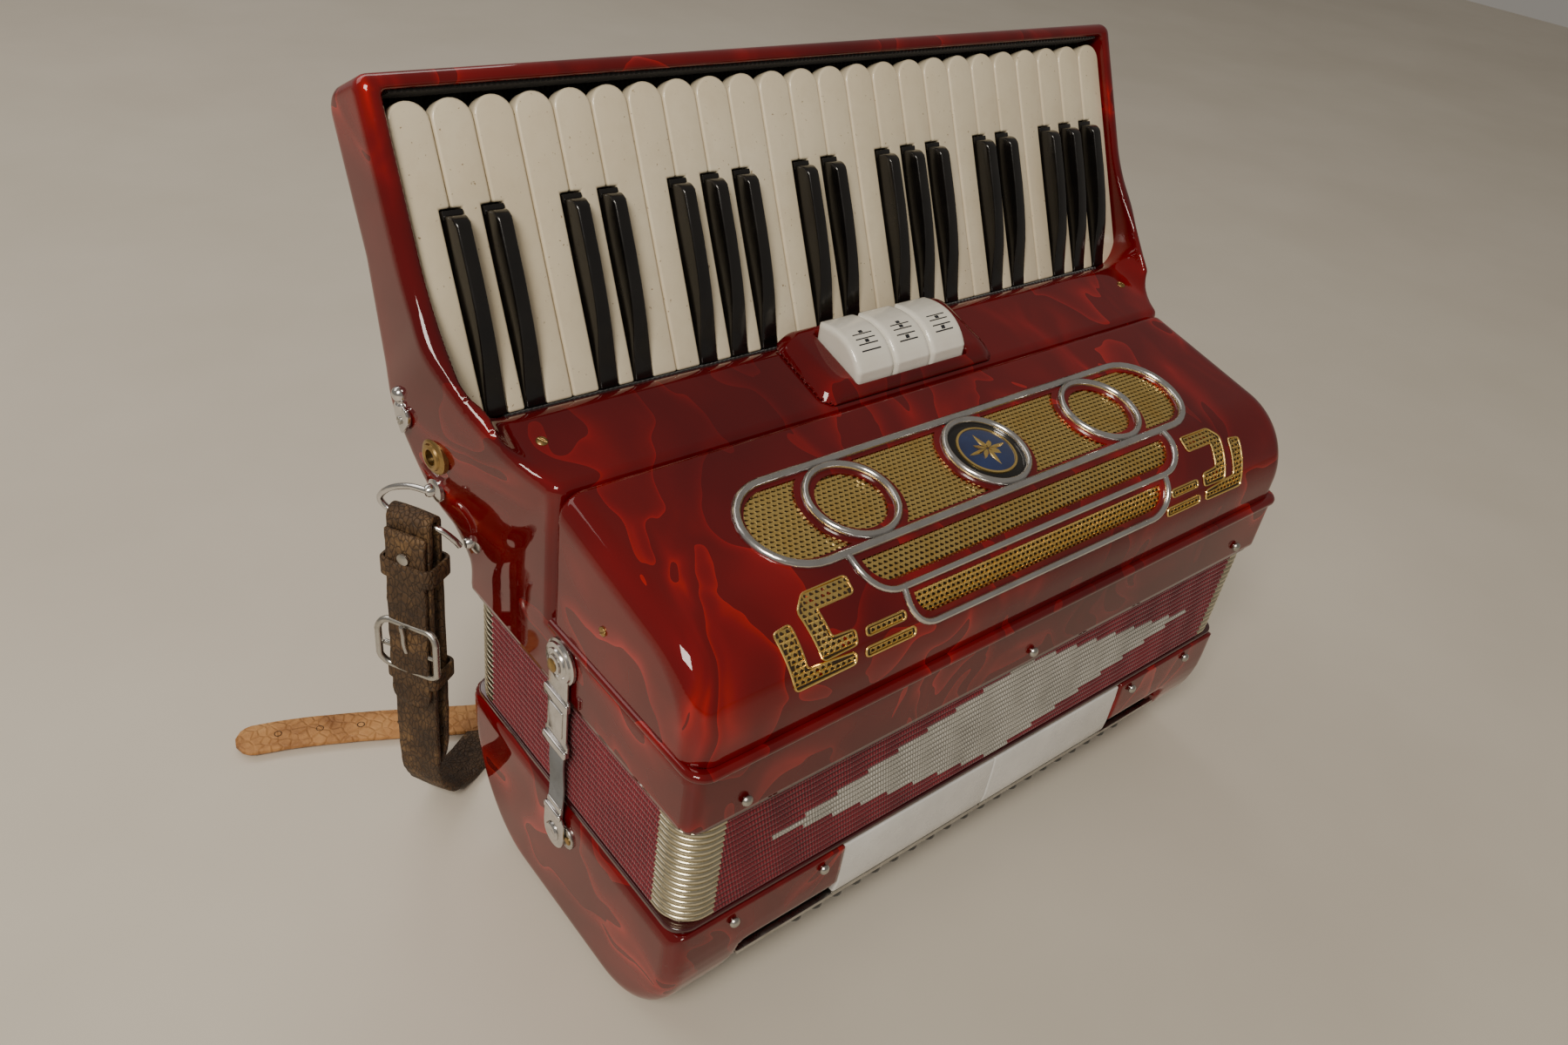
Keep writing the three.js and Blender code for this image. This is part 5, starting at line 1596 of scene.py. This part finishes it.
def strap_outer():
    """The worn dark strap: up behind the ring's bar, folded over it, down in front and onto the ground."""
    fold = arc((0, FOLD_Z), FOLD_RADIUS, 180, 15, 11)
    path = hanging(HANG, 6) + [strap_point(*p) for p in fold] + hanging(FALL, 8)
    leather_band("strap_outer", path, [(*STRAP_ACROSS, 0)] * len(path), STRAP_WIDTH, STRAP_THICKNESS,
                 LEATHER_DARK, 0.5, seed=3, replaces=["shoulder_strap"])


def strap_tail():
    """The tan end of the strap lying on the ground, pierced with a row of holes and round at its tip."""
    flat = smooth_path([(x, y, TAIL_Z) for x, y in TAIL], 10)
    tangents = np.gradient(np.array(flat), axis=0)
    raised = np.array([(x, y, z + 0.9 * k / len(flat)) for k, (x, y, z) in enumerate(flat)])
    leather_band("strap_tail", raised, [(-y, x, 0) for x, y, _ in tangents], STRAP_WIDTH - 1.5, 3.0,
                 LEATHER_TAN, 0.12, round_end=11, seed=5)
    lengths = run_lengths(flat)
    for number in range(HOLES):
        at = lengths[-1] - (number + 1) * HOLE_PITCH
        x, y, z = (np.interp(at, lengths, values) for values in raised.T)
        lathe(f"strap_hole_{number + 1}", HOLE_RIM, (x, y, z + 1.55), (0, 0, 1), LEATHER_DARK, "strap", 16,
              slot="leather")


def buckle():
    """A roller buckle on the hanging part: frame, bar and tongue."""
    forward = (*STRAP_FRONT, 0)
    frame_path = [strap_point(BUCKLE_FRONT + 2.6 * (1 - (b / BUCKLE_HALF_HEIGHT) ** 2), BUCKLE_Z + b, a)
                  for a, b in rounded_box(BUCKLE_HALF_WIDTH, BUCKLE_HALF_HEIGHT, 7, 6)]
    swept_piece("buckle_frame", frame_path, circle(1.9, 10), GREY_METAL, "strap", closed=True,
                up=lambda point: forward, slot="steel")
    bar = [strap_point(BUCKLE_FRONT - 0.5, BUCKLE_Z - 2, across) for across in (-16, -5, 5, 16)]
    swept_piece("buckle_bar", bar, circle(1.5, 10), GREY_METAL, "strap", slot="steel")
    tongue = [strap_point(BUCKLE_FRONT + out, BUCKLE_Z + rise, 1.0)
              for out, rise in ((1.4, -2), (3.2, 5), (3.4, 11), (4.6, 17.4))]
    swept_piece("buckle_tongue", smooth_path(tongue, 6), circle(1.3, 10), GREY_METAL, "strap", slot="steel")


def keeper(name, z, height):
    """A leather loop round the strap."""
    centre = strap_point(0.6, z)
    loop = [strap_point(b + 0.6, z, a) for a, b in rounded_box(STRAP_WIDTH / 2 + 2.2, 9.2, 3.4, 5)]
    half = height / 2
    section = [(-half, -0.8), (half, -0.8), (half, 0.4), (half - 0.8, 1.0), (-half + 0.8, 1.0), (-half, 0.4)]
    swept_piece(f"strap_keeper_{name}", loop, section, LEATHER_DARK, "strap", closed=True,
                up=lambda point: point - centre, slot="leather")


strap_outer()
strap_tail()
buckle()
keeper("upper", 182, 11)
keeper("lower", 112, 10)
# the free end of the strap through the buckle
patch = hanging(OVERLAP, 8)
leather_band("strap_overlap", patch, [(*STRAP_ACROSS, 0)] * len(patch), STRAP_WIDTH - 2, 2.6, LEATHER_DARK,
             0.7, round_end=6, seed=9)
lathe("strap_rivet", [(0, 0), (3.4, 0), (3.2, 0.9), (1.8, 1.6), (0, 1.8)], strap_point(10.2, 191),
      (*STRAP_FRONT, 0), GREY_METAL, "strap", 20, slot="steel")


# ---------------------------------------------------------------- floor, light and camera
FLOOR_HALF = 4000
TARGET = (0, 0, 0.25)
# name, place, size, power, colour
LIGHTS = (
    ("key_light", (-1.5, -0.9, 1.9), (0.8, 0.8), 46, (1.0, 0.92, 0.82)),
    ("side_light", (-1.2, 1.6, 1.8), (1.4, 1.0), 9, (1.0, 0.94, 0.88)),
    ("back_light", (0.2, 2.2, 2.2), (2.0, 0.8), 12, (1.0, 0.95, 0.9)),
)
# the camera as fitted to the photo
EYE = (-0.4405, -0.3573, 0.5695)
LOOK = (0.5697, 0.5905, -0.5717)
ROLL = math.radians(9.06)
LENS = 27.53


def place_object(name, data):
    thing = bpy.data.objects.new(name, data)
    bpy.context.scene.collection.objects.link(thing)
    return thing


def floor():
    m = Material("floor_pale", Roughness=0.5)
    color = m.ramp(m.noise(3.0, 4, 0.6), (0.3, (0.60, 0.55, 0.46)), (0.7, (0.66, 0.61, 0.52)))
    m.join(Base_Color=color, Normal=m.bump(m.noise(60.0, 3), 0.03, 0.002))
    ground = prism(box_outline(-FLOOR_HALF, FLOOR_HALF, -FLOOR_HALF, FLOOR_HALF), -10, -0.2, in_z)
    publish("floor", *ground, m.material, None, smooth=False)


def light():
    world = bpy.data.worlds.new("studio")
    world.use_nodes = True
    background = world.node_tree.nodes["Background"]
    background.inputs["Color"].default_value = (0.80, 0.74, 0.66, 1)
    background.inputs["Strength"].default_value = 0.30
    bpy.context.scene.world = world
    for name, place, size, power, color in LIGHTS:
        lamp = bpy.data.lights.new(name, "AREA")
        lamp.shape = "RECTANGLE"
        lamp.size, lamp.size_y = size
        lamp.energy = power
        lamp.color = color
        stand = place_object(name, lamp)
        stand.location = place
        stand.rotation_euler = (Vector(TARGET) - Vector(place)).to_track_quat("-Z", "Y").to_euler()


def camera():
    data = bpy.data.cameras.new("camera")
    data.lens = LENS
    data.sensor_width = 36
    data.clip_start = 0.01
    eye = place_object("camera", data)
    turn = Vector(LOOK).to_track_quat("-Z", "Y").to_matrix() @ Matrix.Rotation(ROLL, 3, "Z")
    eye.matrix_world = Matrix.Translation(EYE) @ turn.to_4x4()
    bpy.context.scene.camera = eye


floor()
light()
camera()
